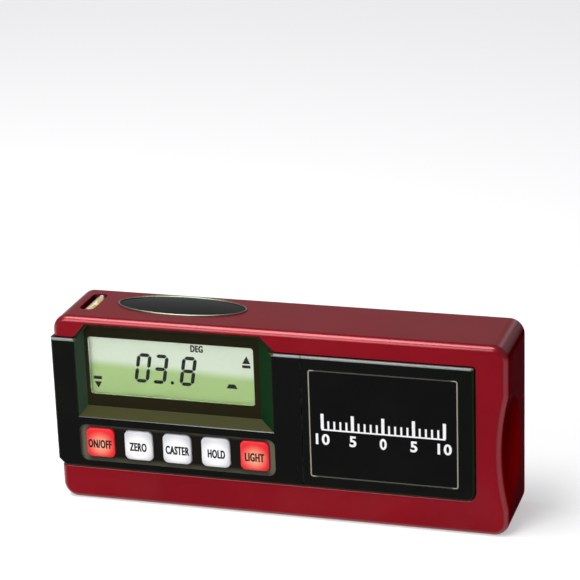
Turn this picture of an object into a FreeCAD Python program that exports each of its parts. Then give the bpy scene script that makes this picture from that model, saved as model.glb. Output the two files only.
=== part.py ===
import FreeCAD, Part
import math
import os

# Camber caster gauge: a digital level in a red metal body with a gloss black front.
# +X runs to the right along the length, -Y is the front and +Z is up. The origin is
# under the middle of the gauge, on the surface that it stands on. Lengths are in mm.

Vector = FreeCAD.Vector

# Overall size
overall_length = 152.4
overall_depth = 30.0
body_height = 64.5
end_proud = 0.6  # the black end stands out past the red one by this much
panel_proud = 1.0  # the black front stands out past the red one by this much

# Metal body
corner_radius = 5.0
edge_radius = 2.2
top_wall = 2.4
base_wall = 5.0
back_wall = 2.3
right_wall = 5.0
left_wall = 3.0
lip_thickness = 2.0
lower_lip = 11.6  # height of the red band under the black front
upper_lip = 7.15
right_lip = 10.5
lip_round = 0.4
opening_top_radius = 1.0
opening_bottom_radius = 3.0
scoop_length = 39.0  # finger scoop in the right end
scoop_depth = 2.3
scoop_height = 28.5

# Clearances
fit_gap = 0.15  # between mouldings and the metal body
seat_gap = 0.05  # between pieces that lie on each other
key_gap = 0.15
drop_in_gap = 0.4  # round the battery and the boards

# Black front
plate_thickness = 2.2
panel_edge_radius = 1.2
end_wall = 2.2
end_chamfer = 2.4
cover_length = 56.5  # from the seam with the front panel to the right lip
seam_gap = 0.2

# Display recess
recess_from_end = 8.4  # from the left end of the gauge
recess_from_seam = 9.4
recess_from_foot = 18.1  # from the foot of the black front
recess_shoulder_drop = 7.5  # below this drop from the top the recess has its full width
recess_top_drop = 2.7
recess_narrowing_left = 4.2
recess_narrowing_right = 4.7
recess_depth = 3.0
recess_run_left = 2.4
recess_run_right = 5.05
recess_run_bottom = 3.25
recess_run_top = 0.3
recess_run_shoulder_left = 0.2
recess_run_shoulder_right = 1.2
recess_floor = 1.0
recess_wall = 1.0
lining = 0.5

# Display
window_inset_left = 1.3  # from the foot of the recess's slopes
window_inset_right = 2.05
window_inset_bottom = 4.3
window_drop = 7.1  # from the top of the gauge
window_radius = 1.0
lens_flange = 0.8
lens_margin = 1.3
cell_glass = 0.8
cell_margin = 1.5
cell_ledge = 2.2
backlight_thickness = 1.2
holder_wall = 1.0
holder_leg = 4.0
strip_thickness = 1.6
strip_margin = 5.0

# Keys
key_names = ["key_on_off", "key_zero", "key_caster", "key_hold", "key_light"]
key_space = 3.6  # between neighbours
key_height = 10.2
key_rise = 9.25  # from the foot of the black front to the middle of the keys
key_radius = 1.8
key_travel = 0.7
key_sink = 0.1  # the key faces lie this far behind the black front
key_flange = 0.8
key_flange_thickness = 0.8
key_stem_radius = 2.0
key_recess_margin = 2.2  # beyond the end keys
key_recess_height = 12.8
key_recess_radius = 2.6
key_recess_depth = 1.0
switch_size = 6.0
switch_body = 3.4
switch_plunger = 0.9
switch_plunger_radius = 1.6

# Board and what it carries
board_setback = 9.6  # from the black front to the front face of the board
board_thickness = 1.6
board_foot = 1.45  # above the foot of the black front
board_drop = 8.9  # from the top of the gauge
post_radius = 2.2
post_spread = 40.0
post_lift = 0.15  # above the foot of the display recess
board_screw_radius = 1.0
board_screw_length = 5.0
screw_head_radius = 1.9
screw_head_height = 1.3
sensor_radius = 12.0
sensor_depth = 9.0
sensor_offset = 2.0  # to the left of the middle of the keys
sensor_z = 37.0
clamp_width = 8.0
clamp_thickness = 1.0
chip_size = 12.0
chip_thickness = 1.6
chip_drop = 10.6  # from the top of the board
crystal_length = 11.0
crystal_width = 4.6
crystal_height = 3.6
crystal_radius = 2.2
crystal_z = 25.0
capacitor_radius = 3.15
capacitor_height = 8.0
capacitor_step = 7.8  # from the left side of the display recess
capacitor_z = 40.0
capacitor_pitch = 9.0
header_length = 6.0
header_width = 8.0
header_depth = 5.4
header_from_seam = 8.2

# Bosses and the screws that come in from the back
boss_radius = 3.2
boss_neck = 2.4
boss_from_end = 5.8
boss_from_seam = 4.6
boss_from_foot = 5.75
boss_drop = 14.0  # from the top of the gauge
rear_screw_radius = 1.4
rear_screw_length = 8.0
rear_head_radius = 2.7
rear_head_height = 1.6
rear_head_sink = 0.3
rear_slot_width = 0.8

# Battery and its compartment
battery_length = 46.4
battery_width = 26.2
battery_thickness = 17.2
battery_radius = 2.0
battery_front_gap = 0.6
terminal_height = 2.0
terminal_pitch = 12.7
stud_radius = 2.8
socket_radius = 3.9
snap_thickness = 5.0
snap_width = 12.6
tray_wall = 1.3
tray_flange = 1.2
foam_thickness = 1.0
foam_margin = 3.0
tray_boss_spread = 30.0
peg_radius = 1.5
peg_hole_gap = 0.1
peg_length = 3.0
peg_inset = 3.2
lead_radius = 0.6
lead_pitch = 3.0
lead_bow = 1.2
lead_bend = 0.9  # bend radius, as a share of a third of the lead

# Label plate in the battery cover
label_inset_left = 2.2  # from the edges of the cover
label_inset_right = 5.05
label_inset_bottom = 3.95
label_inset_top = 4.35
label_depth = 0.5
label_thickness = 0.4
label_gap = 0.1
label_radius = 0.6

# Level vial in the top face
vial_slot_inset = 8.9  # from the left end of the metal body
vial_slot_setback = 15.85  # from the front of the metal body
vial_slot_width = 5.1
vial_slot_length = 15.3
vial_slot_radius = 1.8
vial_radius = 2.1
vial_wall = 0.5
vial_sink = 0.3
vial_end_gap = 0.5
vial_cap = 0.8
vial_bed_thickness = 0.8
vial_block_wall = 1.3
bubble_length = 3.6
bubble_depth = 1.0

# Oval badge on the top face
badge_inset = 39.6  # from the left end of the metal body
badge_setback = 17.0  # from the front of the metal body
badge_length = 44.6
badge_width = 17.7
badge_thickness = 0.8
badge_sink = 0.4

# Magnets in the base
magnet_radius = 5.0
magnet_thickness = 3.0
magnet_sink = 0.1
magnet_count = 4
magnet_pitch = 36.0

# Planes and lines that the sizes above give
x_left = -overall_length / 2
x_right = overall_length / 2
y_front = -overall_depth / 2
y_back = overall_depth / 2
body_left = x_left + end_proud
body_front = y_front + panel_proud
body_middle = (body_front + y_back) / 2
cavity_left = body_left + left_wall
cavity_right = x_right - right_wall
cavity_front = body_front + lip_thickness
cavity_back = y_back - back_wall
cavity_top = body_height - top_wall
opening_right = x_right - right_lip
opening_top = body_height - upper_lip
front_bottom = lower_lip + fit_gap
front_top = opening_top - fit_gap
front_right = opening_right - fit_gap
plate_back = y_front + plate_thickness
seam_x = opening_right - cover_length
panel_right = seam_x - seam_gap / 2
cover_left = seam_x + seam_gap / 2
recess_left = x_left + recess_from_end
recess_right = seam_x - recess_from_seam
recess_bottom = front_bottom + recess_from_foot
recess_shoulder = body_height - recess_shoulder_drop
recess_top = body_height - recess_top_drop
recess_top_left = recess_left + recess_narrowing_left
recess_top_right = recess_right - recess_narrowing_right
recess_floor_y = y_front + recess_depth
recess_back = recess_floor_y + recess_floor
window_left = recess_left + recess_run_left + window_inset_left
window_right = recess_right - recess_run_right - window_inset_right
window_bottom = recess_bottom + recess_run_bottom + window_inset_bottom
window_top = body_height - window_drop
lens_back = recess_back + seat_gap + lens_flange
cell_front = lens_back + seat_gap
cell_split = cell_front + cell_glass
cell_back = cell_split + cell_glass
backlight_front = cell_back + seat_gap
backlight_back = backlight_front + backlight_thickness
cell_left = window_left - cell_margin
cell_right = window_right + cell_margin
cell_bottom = window_bottom - cell_margin - cell_ledge
cell_top = window_top + cell_margin
board_y = y_front + board_setback
key_recess_length = recess_right - recess_left
key_row_x = (recess_left + recess_right) / 2
key_row_z = front_bottom + key_rise
key_row_length = key_recess_length - 2 * key_recess_margin
key_width = (key_row_length - (len(key_names) - 1) * key_space) / len(key_names)
key_pitch = key_width + key_space
key_face = y_front + key_sink
key_floor = y_front + key_recess_depth
flange_front = plate_back + seat_gap
flange_back = flange_front + key_flange_thickness
plunger_tip = board_y - switch_body - switch_plunger
stem_end = plunger_tip - key_travel - seat_gap
board_back = board_y + board_thickness
board_bottom = front_bottom + board_foot
board_top = body_height - board_drop
post_z = recess_bottom + post_lift
capacitor_x = recess_left + capacitor_step
sensor_x = key_row_x - sensor_offset
chip_x = key_row_x + post_spread / 2
chip_z = board_top - chip_drop
header_x = seam_x - header_from_seam
boss_left_x = x_left + boss_from_end
boss_right_x = seam_x - boss_from_seam
boss_low_z = front_bottom + boss_from_foot
boss_high_z = body_height - boss_drop
board_left = x_left + end_wall + drop_in_gap
board_right = panel_right - drop_in_gap
battery_z = (front_bottom + front_top) / 2
tray_front = plate_back + seat_gap
tray_left = cover_left + fit_gap
tray_right = front_right - fit_gap
battery_right = tray_right - tray_wall - drop_in_gap
battery_left = battery_right - battery_length
battery_front = plate_back + battery_front_gap
battery_back = battery_front + battery_thickness
foam_front = battery_back + seat_gap
foam_back = foam_front + foam_thickness
tray_floor = foam_back + seat_gap
tray_back = tray_floor + tray_wall
label_left = cover_left + label_inset_left
label_right = front_right - label_inset_right
label_bottom = front_bottom + label_inset_bottom
label_top = front_top - label_inset_top
snap_left = battery_left - snap_thickness
snap_middle = (battery_front + battery_back) / 2
badge_x = body_left + badge_inset
badge_y = body_front + badge_setback
vial_slot_x = body_left + vial_slot_inset
vial_slot_y = body_front + vial_slot_setback
vial_top = body_height - vial_sink
vial_z = vial_top - vial_radius
vial_half = vial_slot_length / 2 - vial_end_gap
vial_floor = vial_z - vial_radius - vial_bed_thickness

key_centres = [key_row_x + (i - (len(key_names) - 1) / 2) * key_pitch for i in range(len(key_names))]
boss_places = [(x, z) for x in (boss_left_x, boss_right_x) for z in (boss_low_z, boss_high_z)]
post_places = [(key_row_x + side * post_spread / 2, post_z) for side in (-1, 1)]
tray_middle = (battery_left + battery_right) / 2
tray_bosses = [(tray_middle + side * tray_boss_spread / 2, battery_z) for side in (-1, 1)]


def box(x0, x1, y0, y1, z0, z1):
    """A block between three pairs of planes."""
    return Part.makeBox(x1 - x0, y1 - y0, z1 - z0, Vector(x0, y0, z0))


def rod(x, z, radius, y0, y1):
    """A round bar along Y."""
    return Part.makeCylinder(radius, y1 - y0, Vector(x, y0, z), Vector(0, 1, 0))


def outline_wire(points, radii, y):
    """A closed outline in the plane y, through corners (x, z) that are rounded by their radii."""
    corners = [Vector(px, y, pz) for px, pz in points]
    entries, exits, middles = [], [], []
    for i, corner in enumerate(corners):
        before = (corners[i - 1] - corner).normalize()
        after = (corners[(i + 1) % len(corners)] - corner).normalize()
        half = before.getAngle(after) / 2
        reach = radii[i] / math.tan(half)
        entries.append(corner + before * reach)
        exits.append(corner + after * reach)
        towards = (before + after).normalize()
        middles.append(corner + towards * (radii[i] / math.sin(half) - radii[i]))
    edges = []
    for i in range(len(corners)):
        if radii[i] > 0:
            edges.append(Part.Arc(entries[i], middles[i], exits[i]).toShape())
        start, end = exits[i], entries[(i + 1) % len(corners)]
        if (end - start).Length > 1e-6:
            edges.append(Part.makeLine(start, end))
    return Part.Wire(edges)


def prism(points, y0, y1, radii=None):
    """An outline in X and Z, extruded from y0 to y1."""
    wire = outline_wire(points, radii or [0] * len(points), y0)
    return Part.Face(wire).extrude(Vector(0, y1 - y0, 0))


def rectangle(x0, x1, z0, z1):
    """The four corners of a rectangle in X and Z."""
    return [(x0, z0), (x1, z0), (x1, z1), (x0, z1)]


def slab(x0, x1, y0, y1, z0, z1, radius):
    """A block whose four edges along Y are rounded."""
    return prism(rectangle(x0, x1, z0, z1), y0, y1, [radius] * 4)


def moved_sides(points, distances):
    """The polygon whose side i, from point i to the next, is moved outwards by distances[i].

    The points run anticlockwise as seen from the front.
    """
    lines = []
    for i, (ax, az) in enumerate(points):
        bx, bz = points[(i + 1) % len(points)]
        length = math.hypot(bx - ax, bz - az)
        dx, dz = (bx - ax) / length, (bz - az) / length
        lines.append((ax + dz * distances[i], az - dx * distances[i], dx, dz))
    moved = []
    for i, (bx, bz, bdx, bdz) in enumerate(lines):
        ax, az, adx, adz = lines[i - 1]
        t = ((bx - ax) * bdz - (bz - az) * bdx) / (adx * bdz - adz * bdx)
        moved.append((ax + adx * t, az + adz * t))
    return moved


def tapered(points_front, y0, points_back, y1):
    """A solid whose flat sides join one polygon at y0 to another at y1."""
    wires = [outline_wire(points_front, [0] * len(points_front), y0)]
    wires.append(outline_wire(points_back, [0] * len(points_back), y1))
    return Part.makeLoft(wires, True, True)


def rounded(shape, radius, chosen):
    """The shape with a round on each edge that the test picks."""
    return shape.makeFillet(radius, [edge for edge in shape.Edges if chosen(edge)])


def on_plane_y(edge, y):
    """True when both ends and the middle of an edge lie in the plane y."""
    middle = edge.valueAt((edge.FirstParameter + edge.LastParameter) / 2)
    points = [vertex.Point for vertex in edge.Vertexes] + [middle]
    return all(abs(point.y - y) < 1e-4 for point in points)


def recess_outline():
    """The display recess at the black front: a rectangle that narrows towards its top."""
    return [
        (recess_left, recess_bottom),
        (recess_right, recess_bottom),
        (recess_right, recess_shoulder),
        (recess_top_right, recess_top),
        (recess_top_left, recess_top),
        (recess_left, recess_shoulder),
    ]


def recess_grown(side, top):
    """The recess outline, grown by side at the bottom and the ends, and by top round its top."""
    return moved_sides(recess_outline(), [side, side, top, top, top, side])


def right_rounded(x0, x1, shrink, y0, y1):
    """A plate from y0 to y1 in the shape of the front opening's right end, shrunk by a gap."""
    points = rectangle(x0, x1, lower_lip + shrink, opening_top - shrink)
    return prism(points, y0, y1, [0, opening_bottom_radius - shrink, opening_top_radius - shrink, 0])


def on_lip_edge(edge):
    """True for an edge of the front opening in the front face of the body."""
    bounds = edge.BoundBox
    if not on_plane_y(edge, body_front) or bounds.XMax < body_left + edge_radius + fit_gap:
        return False
    below_top = bounds.ZMin > lower_lip - fit_gap and bounds.ZMax < recess_top + 1
    return below_top and bounds.XMax < opening_right + fit_gap


def housing():
    """The metal body: a shell with a back, front lips, a scooped right end and an open left end."""
    outer = slab(body_left, x_right, body_front, y_back, 0, body_height, corner_radius)
    sphere_radius = (scoop_length**2 / 4 + scoop_depth**2) / (2 * scoop_depth)
    sphere_x = x_right - scoop_depth + sphere_radius
    outer = outer.cut(Part.makeSphere(sphere_radius, Vector(sphere_x, body_front, scoop_height)))
    outer = rounded(outer, edge_radius, lambda e: on_plane_y(e, body_front) or on_plane_y(e, y_back))

    cavity = box(cavity_left, cavity_right, cavity_front, cavity_back, base_wall, cavity_top)
    vial_block = box(
        cavity_left - 1,
        vial_slot_x + vial_slot_width / 2 + vial_block_wall,
        vial_slot_y - vial_slot_length / 2 - vial_block_wall,
        vial_slot_y + vial_slot_length / 2 + vial_block_wall,
        vial_floor - vial_block_wall,
        cavity_top + 1,
    )
    shell = outer.cut(cavity.cut(vial_block))

    end_opening = box(x_left - 1, cavity_left + 1, body_front - 1, cavity_back, lower_lip, opening_top)
    front_opening = right_rounded(x_left - 1, opening_right, 0, body_front - 1, cavity_front + 1)
    notch = prism(recess_grown(recess_wall + fit_gap, lining + fit_gap), body_front - 1, cavity_front + 1)
    shell = shell.cut(end_opening.fuse([front_opening, notch]))
    shell = rounded(shell, lip_round, on_lip_edge)

    slot = Part.makeBox(
        vial_slot_width,
        vial_slot_length,
        body_height - vial_floor + 1,
        Vector(vial_slot_x - vial_slot_width / 2, vial_slot_y - vial_slot_length / 2, vial_floor),
    )
    slot = rounded(slot, vial_slot_radius, lambda e: abs(e.tangentAt(e.FirstParameter).z) > 0.9)
    badge_bed = badge_oval(fit_gap, body_height - badge_sink, body_height + 1)
    shell = shell.cut(slot.fuse(badge_bed))

    for x in magnet_places():
        pocket_top = magnet_sink + magnet_thickness + seat_gap
        pocket = Part.makeCylinder(magnet_radius + seat_gap, pocket_top + 1, Vector(x, body_middle, -1))
        shell = shell.cut(pocket)
    for x, z in boss_places + tray_bosses:
        shell = shell.cut(rod(x, z, rear_screw_radius + fit_gap, cavity_back - 1, y_back + 1))
        head_floor = y_back - rear_head_sink - rear_head_height
        shell = shell.cut(rod(x, z, rear_head_radius + fit_gap, head_floor, y_back + 1))
    return shell


def badge_oval(grow, z0, z1):
    """An upright solid with the badge's outline, grown by a gap."""
    ellipse = Part.Ellipse(Vector(badge_x, badge_y, z0), badge_length / 2 + grow, badge_width / 2 + grow)
    return Part.Face(Part.Wire(ellipse.toShape())).extrude(Vector(0, 0, z1 - z0))


def magnet_places():
    """The X places of the magnets, evenly spaced about the middle of the base."""
    middle = (body_left + x_right) / 2
    return [middle + (i - (magnet_count - 1) / 2) * magnet_pitch for i in range(magnet_count)]


def boss(x, z, y0):
    """A boss that carries the board on its shoulder and reaches the back wall."""
    shoulder = rod(x, z, boss_radius, y0, board_y - seat_gap)
    return shoulder.fuse(rod(x, z, boss_neck, y0, cavity_back - seat_gap))


def screw_bore(x, z, y1):
    """The pilot bore for a screw that comes in from the back."""
    return rod(x, z, rear_screw_radius + seat_gap, y1 - rear_screw_length - 1, y1 + 1)


def front_panel():
    """The black front moulding: plate, left end, display tub, ear, bosses and key holes."""
    points = [
        (x_left, front_bottom + end_chamfer),
        (x_left + end_chamfer, front_bottom),
        (panel_right, front_bottom),
        (panel_right, front_top),
        (x_left, front_top),
    ]
    body = prism(points, y_front, cavity_back - fit_gap)
    behind = box(x_left + end_wall, panel_right + 1, plate_back, y_back, 0, body_height)
    body = body.cut(behind)
    seam = panel_right - 1
    body = rounded(body, panel_edge_radius, lambda e: on_plane_y(e, y_front) and e.BoundBox.XMin < seam)

    tub = prism(recess_grown(recess_wall, lining), body_front, recess_back)
    body = body.fuse(tub)
    for x, z in boss_places:
        body = body.fuse(boss(x, z, plate_back - 1))
    for x, z in post_places:
        body = body.fuse(rod(x, z, post_radius, plate_back, board_y - seat_gap))

    runs = [
        recess_run_bottom,
        recess_run_right,
        recess_run_shoulder_right,
        recess_run_top,
        recess_run_shoulder_left,
        recess_run_left,
    ]
    slopes = [run / recess_depth for run in runs]
    mouth = moved_sides(recess_outline(), slopes)
    floor = moved_sides(recess_outline(), [-run for run in runs])
    body = body.cut(tapered(mouth, y_front - 1, floor, recess_floor_y))
    y0, y1 = recess_floor_y - 1, recess_back + 1
    body = body.cut(slab(window_left, window_right, y0, y1, window_bottom, window_top, window_radius))

    size = (key_recess_length, key_recess_height)
    body = body.cut(key_block(key_row_x, *size, key_recess_radius, y_front - 1, key_floor))
    hole = (key_width + 2 * key_gap, key_height + 2 * key_gap)
    for x in key_centres:
        body = body.cut(key_block(x, *hole, key_radius, key_floor - 1, plate_back + 1))
    for x, z in boss_places:
        body = body.cut(screw_bore(x, z, cavity_back))
    for x, z in post_places:
        pilot = board_screw_radius + seat_gap
        body = body.cut(rod(x, z, pilot, board_y - board_screw_length, board_y + 1))
    return body


def key_block(x, width, height, radius, y0, y1):
    """A block on the key row, with its edges along Y rounded."""
    z0, z1 = key_row_z - height / 2, key_row_z + height / 2
    return slab(x - width / 2, x + width / 2, y0, y1, z0, z1, radius)


def key(x):
    """One key: a rounded cap, a flange that keeps it behind the plate, and a stem for its switch."""
    cap = key_block(x, key_width, key_height, key_radius, key_face, flange_back)
    width, height = key_width + 2 * key_flange, key_height + 2 * key_flange
    flange = key_block(x, width, height, key_radius, flange_front, flange_back)
    return cap.fuse([flange, rod(x, key_row_z, key_stem_radius, flange_back, stem_end)])


def key_switches():
    """A switch on the board behind each key."""
    half = switch_size / 2
    switches = []
    for x in key_centres:
        body = box(x - half, x + half, board_y - switch_body, board_y, key_row_z - half, key_row_z + half)
        plunger = rod(x, key_row_z, switch_plunger_radius, plunger_tip, board_y - switch_body)
        switches.append(body.fuse(plunger))
    return Part.makeCompound(switches)


def lcd_lens():
    """Clear window: a flange behind the recess floor and a pad that fills the hole in it."""
    x0, x1 = window_left - lens_margin, window_right + lens_margin
    z0, z1 = window_bottom - lens_margin, window_top + lens_margin
    flange = box(x0, x1, recess_back + seat_gap, lens_back, z0, z1)
    pad = slab(
        window_left + seat_gap,
        window_right - seat_gap,
        recess_floor_y + seat_gap,
        lens_back,
        window_bottom + seat_gap,
        window_top - seat_gap,
        window_radius - seat_gap,
    )
    return flange.fuse(pad)


def lcd_glass():
    """The display cell: a front glass with a contact ledge at its foot, and a rear glass."""
    front = box(cell_left, cell_right, cell_front, cell_split, cell_bottom, cell_top)
    rear = box(cell_left, cell_right, cell_split, cell_back, cell_bottom + cell_ledge, cell_top)
    return front.fuse(rear)


def lcd_backlight():
    """Light guide behind the cell."""
    return box(cell_left, cell_right, backlight_front, backlight_back, cell_bottom + cell_ledge, cell_top)


def lcd_holder():
    """Frame round the cell and the light guide, with legs that the board presses on."""
    x0, x1 = cell_left - seat_gap, cell_right + seat_gap
    z0, z1 = cell_bottom - seat_gap, cell_top + seat_gap
    y0 = recess_back + seat_gap
    outer_x0, outer_x1, outer_z0 = x0 - holder_wall, x1 + holder_wall, z0 - holder_wall
    outer = box(outer_x0, outer_x1, y0, backlight_back, outer_z0, z1 + holder_wall)
    frame = outer.cut(box(x0, x1, y0 - 1, backlight_back + 1, z0, z1))
    leg_front, leg_back = backlight_back - holder_wall, board_y - seat_gap
    for x in (outer_x0, outer_x1 - holder_leg):
        frame = frame.fuse(box(x, x + holder_leg, leg_front, leg_back, outer_z0, z0))
    leg_top = board_top - holder_leg
    return frame.fuse(box(x1, outer_x1, leg_front, leg_back, leg_top - holder_leg, leg_top))


def zebra_strip():
    """Elastomer strip from the contact ledge of the cell to the board."""
    z0 = cell_bottom + (cell_ledge - strip_thickness) / 2
    x0, x1 = cell_left + strip_margin, cell_right - strip_margin
    return box(x0, x1, cell_split + seat_gap, board_y - seat_gap, z0, z0 + strip_thickness)


def main_pcb():
    """The circuit board, with holes for the boss necks and the board screws."""
    board = box(board_left, board_right, board_y, board_back, board_bottom, board_top)
    for x, z in boss_places:
        board = board.cut(rod(x, z, boss_neck + fit_gap, board_y - 1, board_back + 1))
    for x, z in post_places:
        board = board.cut(rod(x, z, board_screw_radius + fit_gap, board_y - 1, board_back + 1))
    return board


def pcb_screws():
    """Pan head screws that hold the board to the posts."""
    screws = []
    for x, z in post_places:
        head = rod(x, z, screw_head_radius, board_back, board_back + screw_head_height)
        shank = rod(x, z, board_screw_radius, board_back - board_screw_length, board_back)
        screws.append(head.fuse(shank))
    return Part.makeCompound(screws)


def tilt_sensor():
    """Sealed can that holds the tilt sensing capsule."""
    can = rod(sensor_x, sensor_z, sensor_radius, board_back, board_back + sensor_depth)
    return rounded(can, clamp_thickness, lambda e: on_plane_y(e, board_back + sensor_depth))


def sensor_clamp():
    """Strap over the sensor can, with a leg on the board at each end."""
    x0, x1 = sensor_x - sensor_radius - seat_gap, sensor_x + sensor_radius + seat_gap
    z0, z1 = sensor_z - clamp_width / 2, sensor_z + clamp_width / 2
    top = board_back + sensor_depth + seat_gap
    outer = box(x0 - clamp_thickness, x1 + clamp_thickness, board_back, top + clamp_thickness, z0, z1)
    return outer.cut(box(x0, x1, board_back - 1, top, z0 - 1, z1 + 1))


def mcu_chip():
    """The processor on the back of the board."""
    half = chip_size / 2
    y1 = board_back + chip_thickness
    return box(chip_x - half, chip_x + half, board_back, y1, chip_z - half, chip_z + half)


def crystal():
    """Metal can crystal on the back of the board."""
    x0, x1 = chip_x - crystal_length / 2, chip_x + crystal_length / 2
    z0, z1 = crystal_z - crystal_width / 2, crystal_z + crystal_width / 2
    return slab(x0, x1, board_back, board_back + crystal_height, z0, z1, crystal_radius)


def capacitors():
    """Two round capacitors on the back of the board."""
    y1 = board_back + capacitor_height
    places = [capacitor_z - capacitor_pitch / 2, capacitor_z + capacitor_pitch / 2]
    return Part.makeCompound([rod(capacitor_x, z, capacitor_radius, board_back, y1) for z in places])


def power_header():
    """Connector on the back of the board for the battery leads."""
    x0, x1 = header_x - header_length / 2, header_x + header_length / 2
    z0, z1 = battery_z - header_width / 2, battery_z + header_width / 2
    return box(x0, x1, board_back, board_back + header_depth, z0, z1)


def battery_tray():
    """Battery compartment: a front flange, an open box behind it and bosses to the back wall."""
    flange = right_rounded(tray_left, tray_right, 2 * fit_gap, tray_front, tray_front + tray_flange)
    half = battery_width / 2 + drop_in_gap
    z0, z1 = battery_z - half, battery_z + half
    tub = box(tray_left, tray_right, tray_front, tray_back, z0 - tray_wall, z1 + tray_wall)
    tray = flange.fuse(tub)
    for x, z in tray_bosses:
        tray = tray.fuse(rod(x, z, boss_radius, tray_floor, cavity_back - seat_gap))
    tray = tray.cut(box(tray_left + tray_wall, tray_right - tray_wall, tray_front - 1, tray_floor, z0, z1))
    lead_slot = box(
        tray_left - 1,
        tray_left + tray_wall + 1,
        tray_front - 1,
        snap_middle + lead_radius + drop_in_gap,
        battery_z - lead_pitch / 2 - lead_radius - drop_in_gap,
        battery_z + lead_pitch / 2 + lead_radius + drop_in_gap,
    )
    tray = tray.cut(lead_slot)
    for x, z in peg_places():
        tray = tray.cut(rod(x, z, peg_radius + peg_hole_gap, tray_front - 1, tray_front + tray_flange + 1))
    for x, z in tray_bosses:
        tray = tray.cut(rod(x, z, rear_screw_radius + seat_gap, tray_floor + seat_gap, y_back))
    return tray


def peg_places():
    """The places of the cover's four pegs, inset from its corners."""
    xs = (tray_left + peg_inset, tray_right - peg_inset)
    zs = (front_bottom + peg_inset, front_top - peg_inset)
    return [(x, z) for x in xs for z in zs]


def battery_cover():
    """The right part of the black front: a plate with a label bed and pegs on its back."""
    plate = right_rounded(cover_left, front_right, fit_gap, y_front, plate_back)
    seam = cover_left + 1
    plate = rounded(plate, panel_edge_radius, lambda e: on_plane_y(e, y_front) and e.BoundBox.XMax > seam)
    y0, y1 = y_front - 1, y_front + label_depth
    plate = plate.cut(slab(label_left, label_right, y0, y1, label_bottom, label_top, label_radius))
    for x, z in peg_places():
        plate = plate.fuse(rod(x, z, peg_radius, plate_back - seat_gap, plate_back + peg_length))
    return plate


def label_plate():
    """Thin plate that lies in the label bed."""
    x0, x1 = label_left + label_gap, label_right - label_gap
    z0, z1 = label_bottom + label_gap, label_top - label_gap
    y1 = y_front + label_depth
    return slab(x0, x1, y1 - label_thickness, y1, z0, z1, label_radius - label_gap)


def battery():
    """The battery's case, lying on its side along X."""
    z0, z1 = battery_z - battery_width / 2, battery_z + battery_width / 2
    case = box(battery_left, battery_right, battery_front, battery_back, z0, z1)
    return rounded(case, battery_radius, lambda e: abs(e.tangentAt(e.FirstParameter).x) > 0.9)


def terminal_places():
    """The height of each terminal and its radius: the stud, then the socket."""
    return [
        (battery_z - terminal_pitch / 2, stud_radius),
        (battery_z + terminal_pitch / 2, socket_radius),
    ]


def terminal(z, radius, grow):
    """One terminal on the battery's left end, or the room for it."""
    start = Vector(battery_left - terminal_height - grow, snap_middle, z)
    return Part.makeCylinder(radius + grow, terminal_height + grow, start, Vector(1, 0, 0))


def battery_terminals():
    """The stud and the socket."""
    return Part.makeCompound([terminal(z, radius, 0) for z, radius in terminal_places()])


def battery_snap():
    """The connector that clips on both terminals."""
    half_z, half_y = battery_width / 2 - battery_radius, snap_width / 2
    y0, y1 = snap_middle - half_y, snap_middle + half_y
    block = box(snap_left, battery_left - seat_gap, y0, y1, battery_z - half_z, battery_z + half_z)
    for z, radius in terminal_places():
        block = block.cut(terminal(z, radius, seat_gap))
    return block


def bent_tube(points, bend_radius, radius):
    """A round tube along straight runs that are joined by tangent arcs."""
    corners = [Vector(*point) for point in points]
    edges, start = [], corners[0]
    for before, corner, after in zip(corners, corners[1:], corners[2:]):
        back, ahead = (before - corner).normalize(), (after - corner).normalize()
        half = back.getAngle(ahead) / 2
        reach = bend_radius / math.tan(half)
        entry, leave = corner + back * reach, corner + ahead * reach
        middle = corner + (back + ahead).normalize() * (bend_radius / math.sin(half) - bend_radius)
        edges += [Part.LineSegment(start, entry).toShape(), Part.Arc(entry, middle, leave).toShape()]
        start = leave
    edges.append(Part.LineSegment(start, corners[-1]).toShape())
    path = Part.Wire(edges)
    circle = Part.Wire(Part.makeCircle(radius, corners[0], corners[1] - corners[0]))
    return path.makePipeShell([circle], True, False)


def battery_lead(side):
    """A lead from the snap through the slot in the tray to the header, bowed a little to one side."""
    z = battery_z + side * lead_pitch / 2
    x_end = header_x + header_length / 2 + seat_gap
    x_start = snap_left - seat_gap
    third = (x_start - x_end) / 3
    bow = z + side * lead_bow
    y = board_back + header_depth / 2
    points = [
        (x_start, snap_middle, z),
        (x_start - third, snap_middle, z),
        (x_end + third, y, bow),
        (x_end, y, bow),
    ]
    return bent_tube(points, lead_bend * third, lead_radius)


def battery_foam():
    """Pad between the battery and the floor of its tray."""
    half = battery_width / 2 - foam_margin
    x0, x1 = battery_left + foam_margin, battery_right - foam_margin
    return box(x0, x1, foam_front, foam_back, battery_z - half, battery_z + half)


def rear_screws():
    """Pan head screws through the back wall into the bosses."""
    screws = []
    head_back = y_back - rear_head_sink
    head_front = head_back - rear_head_height
    half_slot = rear_slot_width / 2
    for x, z in boss_places + tray_bosses:
        reach = rear_screw_length if (x, z) in boss_places else cavity_back - tray_floor - 2 * seat_gap
        head = rod(x, z, rear_head_radius, head_front, head_back)
        x0, x1 = x - rear_head_radius, x + rear_head_radius
        slot = box(x0, x1, head_back - rear_head_height / 2, y_back, z - half_slot, z + half_slot)
        shank = rod(x, z, rear_screw_radius, cavity_back - reach, head_front)
        screws.append(head.cut(slot).fuse(shank))
    return Part.makeCompound(screws)


def base_magnets():
    """Round magnets let into the base."""
    discs = []
    for x in magnet_places():
        place = Vector(x, body_middle, magnet_sink)
        discs.append(Part.makeCylinder(magnet_radius, magnet_thickness, place))
    return Part.makeCompound(discs)


def vial_bar(radius, half):
    """A round bar on the vial's axis, centred on the slot."""
    return rod(vial_slot_x, vial_z, radius, vial_slot_y - half, vial_slot_y + half)


def vial_tube():
    """The glass tube of the level vial."""
    return vial_bar(vial_radius, vial_half).cut(vial_bar(vial_radius - vial_wall, vial_half + 1))


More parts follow.
